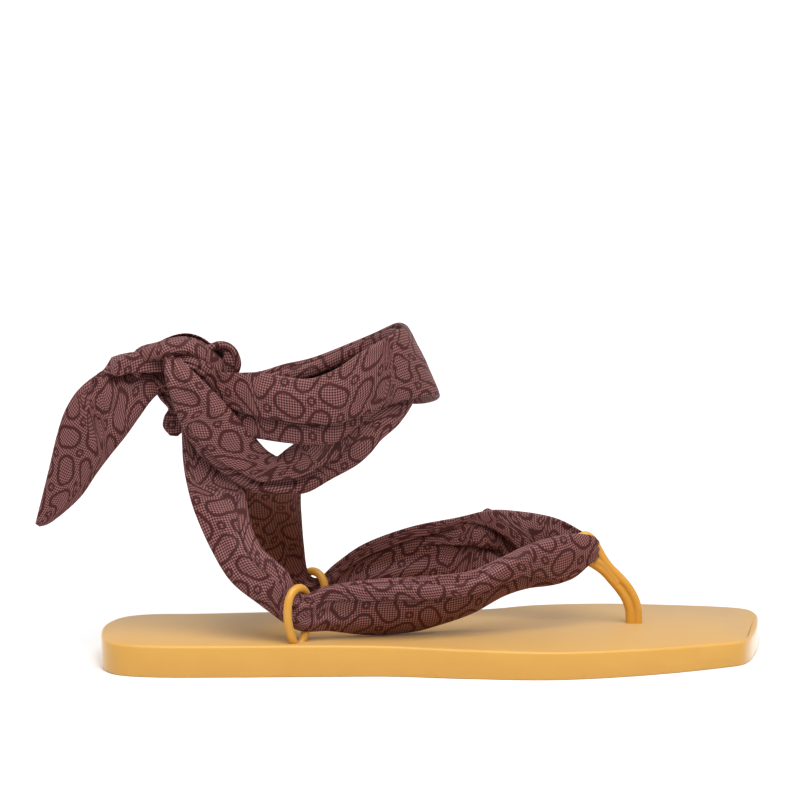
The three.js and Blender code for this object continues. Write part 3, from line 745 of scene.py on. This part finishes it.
def crease_height(crease, length_at, width_at, s_mm, y_mm):
    """A soft trough (negative) or ridge between two places (time, share across)."""
    t0, v0, t1, v1, height, width = crease
    a = np.array([length_at(t0), v0 * width_at(t0)])
    b = np.array([length_at(t1), v1 * width_at(t1)])
    span = b - a
    share = ((s_mm - a[0]) * span[0] + (y_mm - a[1]) * span[1]) / max(span @ span, 1e-6)
    inside = np.clip(share, 0, 1)
    off = np.hypot(s_mm - a[0] - inside * span[0], y_mm - a[1] - inside * span[1])
    return height * np.exp(-((off / width) ** 2)) * np.sin(np.pi * (0.15 + 0.7 * inside))


def folded_sheet(
    name, rows, side, laps=(), creases=(), gathers=(), bulge=((0, 0.5),), wrinkle=0.3, seed=0.0
):
    """A length of scarf as a mesh. A row is f1 s1 z1 f2 s2 z2 front back hem1 hem2: both edges as
    shares, then the front's and the back's depth in mm, and how far each hem reaches behind, which
    can be left out. Times count the rows. The bulge says at which share across the front stands
    out most, at each time."""
    rows = np.array([(*row, *HEMS[len(row) - 8 :]) for row in rows], dtype=float)
    times = np.linspace(0, len(rows) - 1, (len(rows) - 1) * ROW_STEPS + 1)
    values = between_rows(rows, times)
    edge1 = values[:, 0:3] * SCALE
    edge2 = values[:, 3:6] * SCALE
    front, back, hem1, hem2 = values[:, 6:10].T
    front, back = np.maximum(front, LEAST_DEPTH_MM), np.maximum(back, LEAST_DEPTH_MM)
    middle = (edge1 + edge2) / 2
    width = np.linalg.norm(edge2 - edge1, axis=1)
    steps = np.linalg.norm(np.diff(middle, axis=0), axis=1)
    length = np.concatenate([[0], np.cumsum(steps)])
    along = unit(np.gradient(middle, axis=0))
    out = unit(np.cross(edge2 - edge1, along)) * side
    length_at = lambda t: np.interp(t, times, length)
    width_at = lambda t: np.interp(t, times, width)
    lap_rows = [lap_values(lap, times, width) for lap in laps]
    peak = np.interp(times, [row[0] for row in bulge], [row[1] for row in bulge])
    skew = np.log(0.5) / np.log(peak)

    fine = np.linspace(0, 1, FINE_SAMPLES)
    points, arcs, shares = [], [], []
    for i, time in enumerate(times):
        w = width[i]
        x_share = (1 - np.cos(np.pi * fine)) / 2
        density = np.ones_like(fine)
        for across, depth in lap_rows:
            reach = (x_share - across[i]) * w / (CROWD_REACH * LAP_CURL_MM)
            density += min(1, depth[i]) * CROWD_DENSITY * np.exp(-(reach**2))
        total = np.concatenate([[0], np.cumsum((density[1:] + density[:-1]) / 2)])
        q = np.interp(np.linspace(0, total[-1], FRONT_POINTS), total, fine)
        angle = np.concatenate(
            [
                -np.linspace(hem1[i], 0, REAR_POINTS, endpoint=False) * np.pi,
                q * np.pi,
                np.pi * (1 + np.linspace(0, hem2[i], REAR_POINTS + 1)[1:]),
            ]
        )
        cosine, sine = np.cos(angle), np.sin(angle)
        x = w * (1 - np.sign(cosine) * np.abs(cosine) ** EDGE_ROUND) / 2
        is_front = (angle >= 0) & (angle <= np.pi)
        skewed = np.sin(np.pi * np.clip(x / w, 0, 1) ** skew[i])
        rise_front, rise_back = np.abs(skewed) ** (EDGE_ROUND / 2), np.abs(sine) ** EDGE_ROUND
        height = np.where(is_front, rise_front, rise_back)
        back_depth = back[i] + LAYER_GAP_MM * (angle > np.pi)
        h = np.where(is_front, front[i] * height, -back_depth * height)
        share_x = x / w
        for across, depth in lap_rows:
            fade = np.clip(min(across[i], 1 - across[i]) / LAP_EDGE_SHARE, 0, 1)
            d = (share_x - across[i]) * w
            curl = d / LAP_CURL_MM
            overlap = LAP_OVERLAP * min(depth[i], LAP_OVERLAP_LIMIT_MM) * fade
            x = x - is_front * overlap * LAP_PULL * curl * np.exp(-(curl**2) / 2)
            step = 1 / (1 + np.exp(-np.clip(LAP_STEP_SLOPE * curl, -40, 40)))
            low = np.exp(-np.maximum(d, 0) / LAP_FADE_MM)
            high = np.exp(np.minimum(d, 0) / LAP_FADE_MM)
            drop = depth[i] * fade * (step * low - LAP_LIFT_SHARE * (1 - step) * high)
            room = (front[i] + back[i]) * np.clip(height, LEAST_ROOM_SHARE, 1)
            pushed = np.maximum(0, drop - room)
            h = h - np.where(is_front, drop, pushed)
        y_mm = share_x * w
        for crease in creases:
            h = h + is_front * crease_height(crease, length_at, width_at, length[i], y_mm)
        for centre, span, count, size, phase in gathers:
            near_it = math.exp(-(((time - centre) / span) ** 2))
            ripple = np.cos(2 * np.pi * (count * share_x + phase))
            ripple = ripple * np.minimum(1, RIPPLE_FADE * height)
            h = h + is_front * size * near_it * ripple
        for j in range(len(h)):
            layer = seed + 3 * is_front[j]
            waves = ((LONG_WAVE_MM, layer), (SHORT_WAVE_MM, layer + 7))
            long_wave, short_wave = (
                noise.noise(Vector((length[i] / mm_along, y_mm[j] / mm_across, start)))
                for (mm_along, mm_across), start in waves
            )
            wave = long_wave + SHORT_WAVE_SHARE * short_wave
            h[j] += wrinkle * wave * min(1, WRINKLE_FADE * height[j])
        place = edge1[i] + np.outer(x / w, edge2[i] - edge1[i]) + np.outer(h, out[i])
        points.append(place)
        gaps = np.linalg.norm(np.diff(place, axis=0), axis=1)
        arc = np.concatenate([[0], np.cumsum(gaps)])
        arcs.append(arc - arc[REAR_POINTS + FRONT_POINTS // 2])
        shares.append(arc / arc[-1])
    points, arcs, shares = np.array(points), np.array(arcs), np.array(shares)
    own_steps = np.linalg.norm(np.diff(points, axis=0), axis=2)
    own = np.concatenate([np.zeros((1, points.shape[1])), np.cumsum(own_steps, axis=0)])
    travelled = 0.5 * own + 0.5 * length[:, None]
    sheet_width = float(np.mean(arcs[:, -1] - arcs[:, 0]))
    print(f"{name}: flat about {sheet_width:.0f} by {length[-1]:.0f} mm")
    return sheet_mesh(name, points, travelled, arcs, shares)


def sheet_mesh(name, points, travelled, arcs, shares):
    """Rows of points as a smooth mesh with the cloth's thickness and its two UV maps."""
    count, across = points.shape[:2]
    faces = [
        (i * across + j, i * across + j + 1, (i + 1) * across + j + 1, (i + 1) * across + j)
        for i in range(count - 1)
        for j in range(across - 1)
    ]
    mesh = bpy.data.meshes.new(name)
    mesh.from_pydata((points.reshape(-1, 3) * MM).tolist(), [], faces)
    corners = np.zeros(len(mesh.loops), dtype=int)
    mesh.loops.foreach_get("vertex_index", corners)
    maps = {
        "cloth": np.stack([travelled.ravel(), arcs.ravel()], axis=1) * MM,
        "hem": np.stack([travelled.ravel() * MM, shares.ravel()], axis=1),
    }
    for title, coordinates in maps.items():
        mesh.uv_layers.new(name=title).data.foreach_set("uv", coordinates[corners].ravel())
    piece = bpy.data.objects.new(name, mesh)
    bpy.context.collection.objects.link(piece)
    select_only(piece)
    bpy.ops.object.mode_set(mode="EDIT")
    bpy.ops.mesh.select_all(action="SELECT")
    bpy.ops.mesh.normals_make_consistent(inside=False)
    bpy.ops.object.mode_set(mode="OBJECT")
    finish_modifier(piece, "SOLIDIFY", "cloth", thickness=CLOTH_THICKNESS * MM, offset=0.0)
    bpy.ops.object.shade_smooth()
    return piece


# %% [markdown]
# ## Outer strap
# The strap nearest to the camera starts in the post's loop, runs back as two soft rolls with a
# valley between them, is squeezed in the outer ring and rises as a broad band behind the heel.

# %% Outer strap
# Columns: f1 s1 z1 f2 s2 z2 front back, and hem1 hem2 where they differ from HEMS
OUTER_STRAP = [
    (0.447, 0.225, 0.346, 0.451, 0.225, 0.283, 0.8, 0.8),
    (0.476, 0.16, 0.342, 0.482, 0.16, 0.283, 1.2, 1.2),
    (0.452, 0.09, 0.354, 0.457, 0.09, 0.262, 2.0, 1.2),
    (0.402, 0.033, 0.361, 0.406, 0.033, 0.226, 2.6, 1.3),
    (0.336, -0.065, 0.358, 0.338, -0.045, 0.213, 3.4, 1.4),
    (0.26, -0.163, 0.341, 0.262, -0.11, 0.209, 4.2, 1.6),
    (0.186, -0.25, 0.311, 0.188, -0.165, 0.191, 4.8, 1.8),
    (0.094, -0.337, 0.277, 0.094, -0.185, 0.147, 6.6, 1.8),
    (-0.002, -0.413, 0.27, -0.002, -0.225, 0.118, 7.0, 1.8),
    (-0.092, -0.478, 0.271, -0.092, -0.27, 0.099, 6.8, 1.8),
    (-0.219, -0.539, 0.27, -0.219, -0.36, 0.098, 5.4, 1.8),
    (-0.336, -0.57, 0.258, -0.336, -0.5, 0.12, 3.0, 1.6),
    (-0.416, -0.578, 0.234, -0.43, -0.578, 0.131, 1.9, 1.6),
    (-0.463, -0.565, 0.306, -0.543, -0.565, 0.21, 2.4, 1.6),
    (-0.521, -0.489, 0.357, -0.62, -0.489, 0.271, 3.0, 1.8),
    (-0.555, -0.37, 0.41, -0.673, -0.37, 0.353, 3.0, 1.8),
    (-0.568, -0.283, 0.47, -0.72, -0.283, 0.459, 2.6, 1.6),
    (-0.578, -0.217, 0.535, -0.741, -0.217, 0.532, 2.0, 1.4),
    (-0.609, -0.152, 0.617, -0.753, -0.152, 0.604, 1.6, 1.2),
    (-0.641, -0.087, 0.711, -0.756, -0.087, 0.684, 1.6, 1.2),
    (-0.672, -0.033, 0.789, -0.758, -0.033, 0.766, 1.4, 1.0),
    (-0.688, 0.0, 0.859, -0.758, 0.0, 0.844, 1.4, 1.0),
]
# Laps: time, share across, depth in mm
OUTER_LAPS = [
    [
        (0, 0.9, 0.0), (3.5, 0.9, 0.6), (5, 0.64, 2.4), (6, 0.44, 3.8), (7, 0.29, 5.2),
        (8, 0.23, 5.4), (9.5, 0.22, 4.6), (11, 0.25, 1.8), (12, 0.3, 0.0),
    ],
    [(12.6, 0.3, 0.0), (13.5, 0.32, 1.4), (15, 0.26, 1.6), (16.5, 0.16, 0.6), (17, 0.1, 0.0)],
]
OUTER_CREASES = [
    (10.2, 0.45, 11.8, 0.62, -0.7, 1.8), (9.6, 0.75, 11.6, 0.7, 0.5, 2.2),
    (2.2, 0.5, 5.0, 0.35, 0.5, 2.5), (13.2, 0.6, 15.5, 0.75, -0.8, 2.4),
    (14.0, 0.45, 16.5, 0.5, 0.6, 3.0), (16.0, 0.35, 19.0, 0.4, -0.6, 2.4),
]
OUTER_GATHERS = [(12.0, 1.3, 2.5, 0.6, 0.1), (0.8, 1.4, 3.0, 0.35, 0.3), (20.5, 1.5, 2.0, 0.5, 0.0)]

outer_strap = folded_sheet(
    "scarf_outer_strap",
    OUTER_STRAP,
    -1,
    OUTER_LAPS,
    OUTER_CREASES,
    OUTER_GATHERS,
    bulge=[(0, 0.5), (3, 0.42), (5, 0.36), (7, 0.26), (10, 0.24), (13, 0.5)],
    seed=1.5,
)
dress(outer_strap, twill_cloth, "scarf_cloth", "scarf_upper")

# %% [markdown]
# ## Inner strap
# The strap on the big toe side shows its inner face to the camera. Near the toe post its upper part
# is folded over as a lapel with a second, smaller lap below it, and the cloth between them makes a
# dark pocket. Behind the inner ring it rises to the crossing.

# %% Inner strap
INNER_STRAP = [
    (0.453, 0.225, 0.348, 0.457, 0.225, 0.283, 0.8, 1.0),
    (0.391, 0.26, 0.383, 0.398, 0.255, 0.238, 1.6, 1.6),
    (0.338, 0.3, 0.4, 0.344, 0.29, 0.227, 2.0, 2.0),
    (0.26, 0.35, 0.411, 0.266, 0.335, 0.219, 2.0, 2.6),
    (0.172, 0.391, 0.414, 0.176, 0.38, 0.215, 1.2, 3.2),
    (0.074, 0.435, 0.39, 0.074, 0.435, 0.207, 0.6, 3.2),
    (-0.065, 0.489, 0.36, -0.065, 0.489, 0.188, 0.6, 3.2),
    (-0.203, 0.522, 0.309, -0.203, 0.522, 0.156, 0.8, 2.8),
    (-0.289, 0.543, 0.25, -0.289, 0.543, 0.129, 1.2, 2.2),
    (-0.344, 0.543, 0.204, -0.354, 0.543, 0.119, 1.4, 1.8),
    (-0.379, 0.528, 0.225, -0.47, 0.511, 0.152, 1.4, 1.8),
    (-0.393, 0.435, 0.316, -0.55, 0.413, 0.242, 1.8, 2.0),
    (-0.402, 0.239, 0.402, -0.6, 0.217, 0.352, 2.0, 2.0),
    (-0.408, 0.043, 0.461, -0.62, 0.022, 0.441, 2.0, 1.8),
    (-0.411, -0.13, 0.504, -0.62, -0.13, 0.512, 1.6, 1.4),
    (-0.414, -0.24, 0.539, -0.6, -0.24, 0.56, 1.0, 1.0),
]
INNER_LAPS = [
    [
        (0, 0.95, 0.0), (1.0, 0.95, 0.6), (2.0, 0.9, 2.8), (3.0, 0.6, 6.4), (3.8, 0.3, 6.0),
        (4.4, 0.16, 1.4), (5.0, 0.05, 0.0),
    ],
    [
        (1.8, 0.98, 0.0), (2.6, 0.92, 2.0), (3.4, 0.74, 3.2), (4.4, 0.52, 2.8),
        (5.2, 0.42, 0.9), (6.0, 0.35, 0.0),
    ],
    [(4.6, 0.14, 0.0), (5.6, 0.18, 1.4), (7.0, 0.26, 1.6), (8.0, 0.34, 0.8), (8.6, 0.4, 0.0)],
]
INNER_CREASES = [
    (5.0, 0.6, 7.6, 0.6, -1.0, 3.0), (5.6, 0.82, 8.0, 0.7, 0.7, 2.4),
    (11.0, 0.25, 13.5, 0.4, -1.0, 2.4), (11.5, 0.6, 14.0, 0.72, 0.8, 2.6),
    (12.5, 0.1, 14.8, 0.2, 0.6, 2.0),
]
INNER_GATHERS = [(9.0, 1.2, 2.5, 0.6, 0.2), (0.4, 1.2, 3.0, 0.3, 0.1)]

inner_strap = folded_sheet(
    "scarf_inner_strap", INNER_STRAP, -1, INNER_LAPS, INNER_CREASES, INNER_GATHERS, seed=11.5
)
dress(inner_strap, twill_cloth, "scarf_cloth", "scarf_upper")

# %% [markdown]
# ## Crossing
# From the knot a broad length comes down over the outer strap, turns sharply in front of the heel
# and runs forward under the ankle band. Its rear pleat sweeps round the turn, and its front pleat
# folds over to a point.

# %% Crossing
CROSSING = [
    (-0.782, -0.15, 0.932, -0.81, -0.15, 0.927, 0.4, 0.4),
    (-0.716, -0.255, 0.867, -0.803, -0.255, 0.852, 2.4, 1.2),
    (-0.639, -0.283, 0.789, -0.78, -0.283, 0.78, 2.4, 1.2),
    (-0.567, -0.304, 0.707, -0.75, -0.304, 0.702, 2.4, 1.2),
    (-0.52, -0.304, 0.651, -0.702, -0.304, 0.63, 2.4, 1.2),
    (-0.493, -0.293, 0.63, -0.637, -0.293, 0.576, 2.4, 1.2),
    (-0.48, -0.283, 0.624, -0.559, -0.283, 0.523, 2.4, 1.2),
    (-0.472, -0.283, 0.63, -0.473, -0.283, 0.513, 2.4, 1.2),
    (-0.455, -0.304, 0.645, -0.398, -0.304, 0.517, 2.4, 1.2),
    (-0.427, -0.37, 0.67, -0.326, -0.37, 0.56, 2.2, 1.2),
    (-0.374, -0.435, 0.719, -0.256, -0.435, 0.603, 2.0, 1.2),
    (-0.316, -0.478, 0.765, -0.214, -0.478, 0.643, 1.6, 1.2),
    (-0.256, -0.467, 0.806, -0.182, -0.467, 0.681, 1.4, 1.0),
    (-0.188, -0.38, 0.836, -0.127, -0.38, 0.724, 1.0, 0.9),
    (-0.118, -0.235, 0.862, -0.08, -0.235, 0.785, 0.7, 0.7),
    (-0.086, -0.07, 0.886, -0.066, -0.06, 0.845, 0.4, 0.4),
]
CROSSING_LAPS = [
    [
        (2.4, 0.9, 0.0), (3.4, 0.86, 1.2), (5.0, 0.74, 2.6), (6.4, 0.64, 4.0), (7.4, 0.6, 4.6),
        (8.4, 0.62, 4.0), (9.6, 0.66, 2.0), (11, 0.6, 0.4), (12, 0.6, 0.0),
    ],
]
CROSSING_CREASES = [
    (0.6, 0.35, 3.5, 0.3, 0.7, 3.0), (1.0, 0.62, 4.0, 0.6, -0.6, 2.6),
    (3.0, 0.2, 6.5, 0.3, -0.7, 2.4), (6.0, 0.85, 9.0, 0.85, 0.6, 2.2),
    (8.6, 0.2, 11.0, 0.25, 0.5, 2.4),
]
CROSSING_GATHERS = [(0.0, 1.6, 2.0, 0.5, 0.2), (7.0, 1.4, 3.0, 0.5, 0.4)]

crossing = folded_sheet(
    "scarf_crossing", CROSSING, 1, CROSSING_LAPS, CROSSING_CREASES, CROSSING_GATHERS, seed=21.5
)
dress(crossing, twill_cloth, "scarf_cloth", "scarf_upper")

# %% [markdown]
# ## Ankle band
# The band goes once round the ankle. Its upper pleat covers the lower one, which disappears under
# it towards the front. The far half shows its inner face as two long thin folds.

# %% Ankle band
ANKLE_BAND = [
    (-0.703, 0.0, 0.875, -0.703, 0.0, 0.766, 1.0, 0.8),
    (-0.648, -0.152, 0.867, -0.648, -0.152, 0.719, 1.6, 1.0),
    (-0.59, -0.283, 0.871, -0.578, -0.283, 0.688, 2.2, 1.2),
    (-0.538, -0.37, 0.875, -0.526, -0.37, 0.681, 2.8, 1.4),
    (-0.466, -0.457, 0.868, -0.453, -0.457, 0.674, 3.2, 1.4),
    (-0.39, -0.522, 0.863, -0.375, -0.522, 0.671, 3.2, 1.4),
    (-0.316, -0.565, 0.891, -0.3125, -0.565, 0.681, 3.2, 1.4),
    (-0.234, -0.554, 0.945, -0.243, -0.554, 0.731, 3.0, 1.4),
    (-0.173, -0.457, 0.973, -0.155, -0.457, 0.784, 2.4, 1.4),
    (-0.128, -0.304, 0.992, -0.0625, -0.283, 0.796, 1.8, 1.4),
    (-0.105, -0.13, 0.995, -0.005, -0.087, 0.79, 1.4, 1.6),
    (-0.098, 0.087, 0.992, -0.004, 0.13, 0.765, 1.4, 1.6, 0.75, 0.6),
    (-0.117, 0.304, 0.987, -0.046, 0.348, 0.745, 1.8, 1.6, 0.75, 0.6),
    (-0.172, 0.478, 0.953, -0.133, 0.5, 0.742, 2.4, 1.6, 0.75, 0.6),
    (-0.234, 0.554, 0.923, -0.219, 0.565, 0.719, 2.4, 1.6, 0.75, 0.6),
    (-0.355, 0.576, 0.875, -0.352, 0.587, 0.688, 2.4, 1.6, 0.75, 0.6),
    (-0.445, 0.5, 0.858, -0.453, 0.522, 0.672, 2.4, 1.6, 0.75, 0.6),
    (-0.516, 0.37, 0.844, -0.531, 0.391, 0.68, 2.0, 1.4, 0.75, 0.6),
    (-0.594, 0.196, 0.844, -0.609, 0.217, 0.703, 1.6, 1.2, 0.75, 0.6),
    (-0.672, 0.065, 0.852, -0.68, 0.087, 0.75, 1.2, 1.0, 0.75, 0.6),
]
ANKLE_LAPS = [
    [
        (0.6, 0.5, 0.5), (1.4, 0.54, 2.8), (3.0, 0.63, 4.0), (5.0, 0.64, 4.0), (6.0, 0.72, 3.6),
        (7.0, 0.86, 2.4), (8.0, 0.94, 0.0),
    ],
    [(11, 0.3, 0.0), (12.5, 0.36, 2.6), (15, 0.42, 3.4), (17, 0.4, 2.0), (18.4, 0.4, 0.0)],
]
ANKLE_CREASES = [
    (2.0, 0.25, 5.5, 0.3, 0.6, 3.2), (4.0, 0.12, 8.5, 0.15, -0.5, 2.4),
    (6.5, 0.45, 9.5, 0.6, 0.5, 3.4), (7.0, 0.7, 10.0, 0.4, -0.5, 3.0),
    (11.5, 0.75, 15.0, 0.8, 0.6, 2.4),
]
ANKLE_GATHERS = [(0.5, 1.6, 2.0, 0.5, 0.3), (19.0, 1.6, 2.5, 0.5, 0.3)]

ankle_band = folded_sheet(
    "scarf_ankle_band", ANKLE_BAND, 1, ANKLE_LAPS, ANKLE_CREASES, ANKLE_GATHERS, seed=31.5
)
dress(ankle_band, twill_cloth, "scarf_cloth", "scarf_upper")

# %% [markdown]
# ## Inner fold
# The far half of the ankle band is doubled: a narrow fold hangs inside its top edge and shades what
# lies below it.

# %% Inner fold of the ankle band
ANKLE_INNER_FOLD = [
    (-0.112, 0.05, 0.978, -0.118, 0.03, 0.95, 0.6, 0.6),
    (-0.135, 0.24, 0.972, -0.14, 0.21, 0.94, 0.9, 0.7),
    (-0.185, 0.405, 0.942, -0.185, 0.37, 0.91, 1.2, 0.8),
    (-0.248, 0.48, 0.912, -0.248, 0.445, 0.879, 1.4, 0.8),
    (-0.352, 0.5, 0.867, -0.352, 0.465, 0.833, 1.4, 0.8),
    (-0.435, 0.43, 0.85, -0.44, 0.39, 0.815, 1.2, 0.8),
    (-0.5, 0.31, 0.836, -0.505, 0.28, 0.805, 0.8, 0.6),
]
inner_fold = folded_sheet("scarf_ankle_inner_fold", ANKLE_INNER_FOLD, -1, wrinkle=0.15, seed=37.5)
dress(inner_fold, twill_cloth, "scarf_cloth", "scarf_upper")

# %% [markdown]
# ## Knot
# The knot is two wraps round the crossing's top, a small loop in front of them and the scarf's
# short end tucked behind.

# %% Knot
KNOT_WRAP = [
    (-0.888, 0.1, 0.835, -0.895, -0.05, 0.85, 2.0, 1.0),
    (-0.87, 0.12, 0.885, -0.872, -0.13, 0.905, 4.6, 1.0),
    (-0.82, 0.17, 0.9, -0.818, -0.2, 0.924, 5.6, 1.0),
    (-0.738, 0.18, 0.914, -0.75, -0.22, 0.938, 6.4, 1.0),
    (-0.685, 0.17, 0.882, -0.697, -0.2, 0.915, 6.2, 1.0),
    (-0.65, 0.14, 0.82, -0.658, -0.17, 0.878, 5.0, 1.0),
    (-0.655, 0.1, 0.77, -0.655, -0.14, 0.82, 3.0, 1.0),
]
KNOT_UNDERWRAP = [
    (-0.8, -0.1, 0.91, -0.8, -0.08, 0.85, 1.4, 1.0),
    (-0.735, -0.17, 0.92, -0.745, -0.16, 0.87, 2.2, 1.0),
    (-0.682, -0.18, 0.895, -0.71, -0.19, 0.848, 2.6, 1.0),
    (-0.655, -0.15, 0.855, -0.685, -0.17, 0.81, 2.4, 1.0),
    (-0.65, -0.1, 0.8, -0.68, -0.12, 0.77, 1.4, 1.0),
]
KNOT_LOOP = [
    (-0.715, 0.13, 0.885, -0.7, -0.1, 0.91, 0.8, 0.6, 0.6, 0.8),
    (-0.69, 0.15, 0.915, -0.65, -0.11, 0.948, 1.2, 0.6, 0.6, 0.8),
    (-0.655, 0.14, 0.9, -0.607, -0.11, 0.938, 1.2, 0.6, 0.6, 0.8),
    (-0.638, 0.11, 0.865, -0.587, -0.11, 0.894, 1.2, 0.6, 0.6, 0.8),
    (-0.64, 0.09, 0.83, -0.598, -0.11, 0.852, 0.8, 0.6, 0.6, 0.8),
]
KNOT_LOOP_TUCK = [
    (-0.632, -0.04, 0.935, -0.597, -0.04, 0.93, 0.8, 0.6, 0.6, 0.8),
    (-0.636, -0.06, 0.9, -0.59, -0.06, 0.9, 1.2, 0.6, 0.6, 0.8),
    (-0.638, -0.06, 0.865, -0.59, -0.06, 0.86, 1.2, 0.6, 0.6, 0.8),
    (-0.634, -0.04, 0.83, -0.592, -0.04, 0.83, 0.8, 0.6, 0.6, 0.8),
]
SHORT_END = [
    (-0.745, 0.1, 0.93, -0.84, 0.06, 0.9, 0.8, 0.8),
    (-0.74, 0.12, 0.86, -0.845, 0.06, 0.84, 1.2, 0.8),
    (-0.735, 0.1, 0.79, -0.822, 0.08, 0.785, 1.2, 1.0),
    (-0.74, 0.12, 0.75, -0.795, 0.1, 0.75, 1.2, 1.0),
    (-0.745, 0.12, 0.722, -0.806, 0.12, 0.725, 1.4, 1.0),
    (-0.748, 0.12, 0.69, -0.81, 0.12, 0.695, 1.4, 1.0),
    (-0.77, 0.12, 0.667, -0.79, 0.12, 0.669, 0.6, 0.6),
]
WRAP_LAPS = [[(1, 0.3, 0.0), (2, 0.4, 3.0), (3, 0.46, 4.2), (4, 0.5, 3.2), (5, 0.55, 0.0)]]
KNOT_GATHERS = [(2, 2.5, 3.0, 0.5, 0.2)]
KNOT_PIECES = [
    ("knot_upper_wrap", KNOT_WRAP, WRAP_LAPS, (0.056, 0.047)),
    ("knot_lower_wrap", KNOT_UNDERWRAP, [], (0.028, 0.025)),
    ("knot_loop", KNOT_LOOP, [], (0.036, 0.023)),
    ("knot_loop_tuck", KNOT_LOOP_TUCK, [], (0.019, 0.013)),
    ("scarf_short_end", SHORT_END, [], (0.032, 0.03)),
]
for order, (name, rows, laps, flat) in enumerate(KNOT_PIECES):
    wrap = folded_sheet(name, rows, 1, laps, gathers=KNOT_GATHERS, seed=41.5 + 10 * order)
    dress(wrap, twill_cloth, "scarf_cloth", "scarf_knot")

# %% [markdown]
# ## Hanging tail
# The long end hangs to the rear in a point, with its upper edge folded over like a lapel.

# %% Hanging tail
TAIL = [
    (-0.79, -0.04, 0.9, -0.785, -0.04, 0.81, 1.0, 0.8),
    (-0.82, -0.065, 0.914, -0.8125, -0.065, 0.809, 1.4, 1.0),
    (-0.873, -0.087, 0.92, -0.848, -0.087, 0.781, 2.0, 1.2),
    (-0.918, -0.087, 0.916, -0.883, -0.087, 0.734, 2.0, 1.2),
    (-0.977, -0.087, 0.879, -0.922, -0.087, 0.68, 2.0, 1.2),
    (-1.049, -0.065, 0.825, -0.969, -0.065, 0.621, 2.0, 1.2),
    (-1.094, -0.043, 0.758, -1.012, -0.043, 0.5625, 1.8, 1.2),
    (-1.121, -0.022, 0.68, -1.051, -0.022, 0.504, 1.6, 1.0),
    (-1.145, 0.0, 0.582, -1.098, 0.0, 0.457, 1.2, 0.9),
    (-1.168, 0.022, 0.492, -1.148, 0.022, 0.418, 0.8, 0.7),
    (-1.188, 0.033, 0.415, -1.178, 0.033, 0.408, 0.3, 0.3),
]
TAIL_LAPS = [
    [
        (0, 0.5, 5.0), (1.5, 0.4, 8.5), (2.8, 0.29, 9.5), (3.8, 0.17, 7.0), (4.6, 0.08, 1.2),
        (5.2, 0.05, 0.0),
    ],
]
TAIL_CREASES = [(4.5, 0.4, 9.0, 0.5, 0.7, 4.0), (3.0, 0.75, 8.0, 0.75, -0.5, 3.0)]

tail = folded_sheet("scarf_hanging_tail", TAIL, -1, TAIL_LAPS, TAIL_CREASES, seed=91.5)
dress(tail, twill_cloth, "scarf_cloth", "scarf_tail")

# %% [markdown]
# ## Floor and light
# A product shot on white: a plain pale floor that fills the picture, a large soft light above and
# on the camera's side, and a surround that is dim near the horizon and brighter overhead. A sun
# with a wide angle lights the whole floor evenly, so the floor stays white everywhere.

# %% Floor and light
FLOOR_SIZE = 120
SUN_FROM = Vector((0.05, -0.48, 1.0))
SUN_STRENGTH = 2.55
SUN_ANGLE = math.radians(50)
HORIZON_LIGHT = 0.22
OVERHEAD_LIGHT = 0.55
HORIZON_ENDS = 0.1
OVERHEAD_STARTS = 0.5
FLOOR_GREY = "#E8E7E7"

deselect_all()
bpy.ops.mesh.primitive_plane_add(size=FLOOR_SIZE)
floor = bpy.context.object
floor.name = "floor"
floor_material, _, floor_shader = new_material("pale_floor")
floor_shader.inputs["Base Color"].default_value = linear(FLOOR_GREY)
floor_shader.inputs["Roughness"].default_value = 0.9
floor_shader.inputs["Specular IOR Level"].default_value = 0.1
floor.data.materials.append(floor_material)

world = bpy.data.worlds.new("studio")
world.use_nodes = True
sky = world.node_tree
direction = add_node(sky, "ShaderNodeTexCoord").outputs["Generated"]
height = add_node(sky, "ShaderNodeSeparateXYZ", Vector=direction).outputs["Z"]
rise = add_node(
    sky,
    "ShaderNodeMapRange",
    in_0=height,
    in_1=HORIZON_ENDS,
    in_2=OVERHEAD_STARTS,
    in_3=HORIZON_LIGHT,
    in_4=OVERHEAD_LIGHT,
)
sky.links.new(rise.outputs[0], sky.nodes["Background"].inputs["Strength"])
sky.nodes["Background"].inputs["Color"].default_value = (1, 1, 1, 1)
bpy.context.scene.world = world

sun = bpy.data.objects.new("soft_key", bpy.data.lights.new("soft_key", "SUN"))
bpy.context.collection.objects.link(sun)
sun.data.energy = SUN_STRENGTH
sun.data.angle = SUN_ANGLE
sun.rotation_euler = (-SUN_FROM).to_track_quat("-Z", "Y").to_euler()
bpy.context.scene.view_settings.view_transform = "Standard"
bpy.context.scene.view_settings.look = "Medium High Contrast"
print("floor and lights are in place")
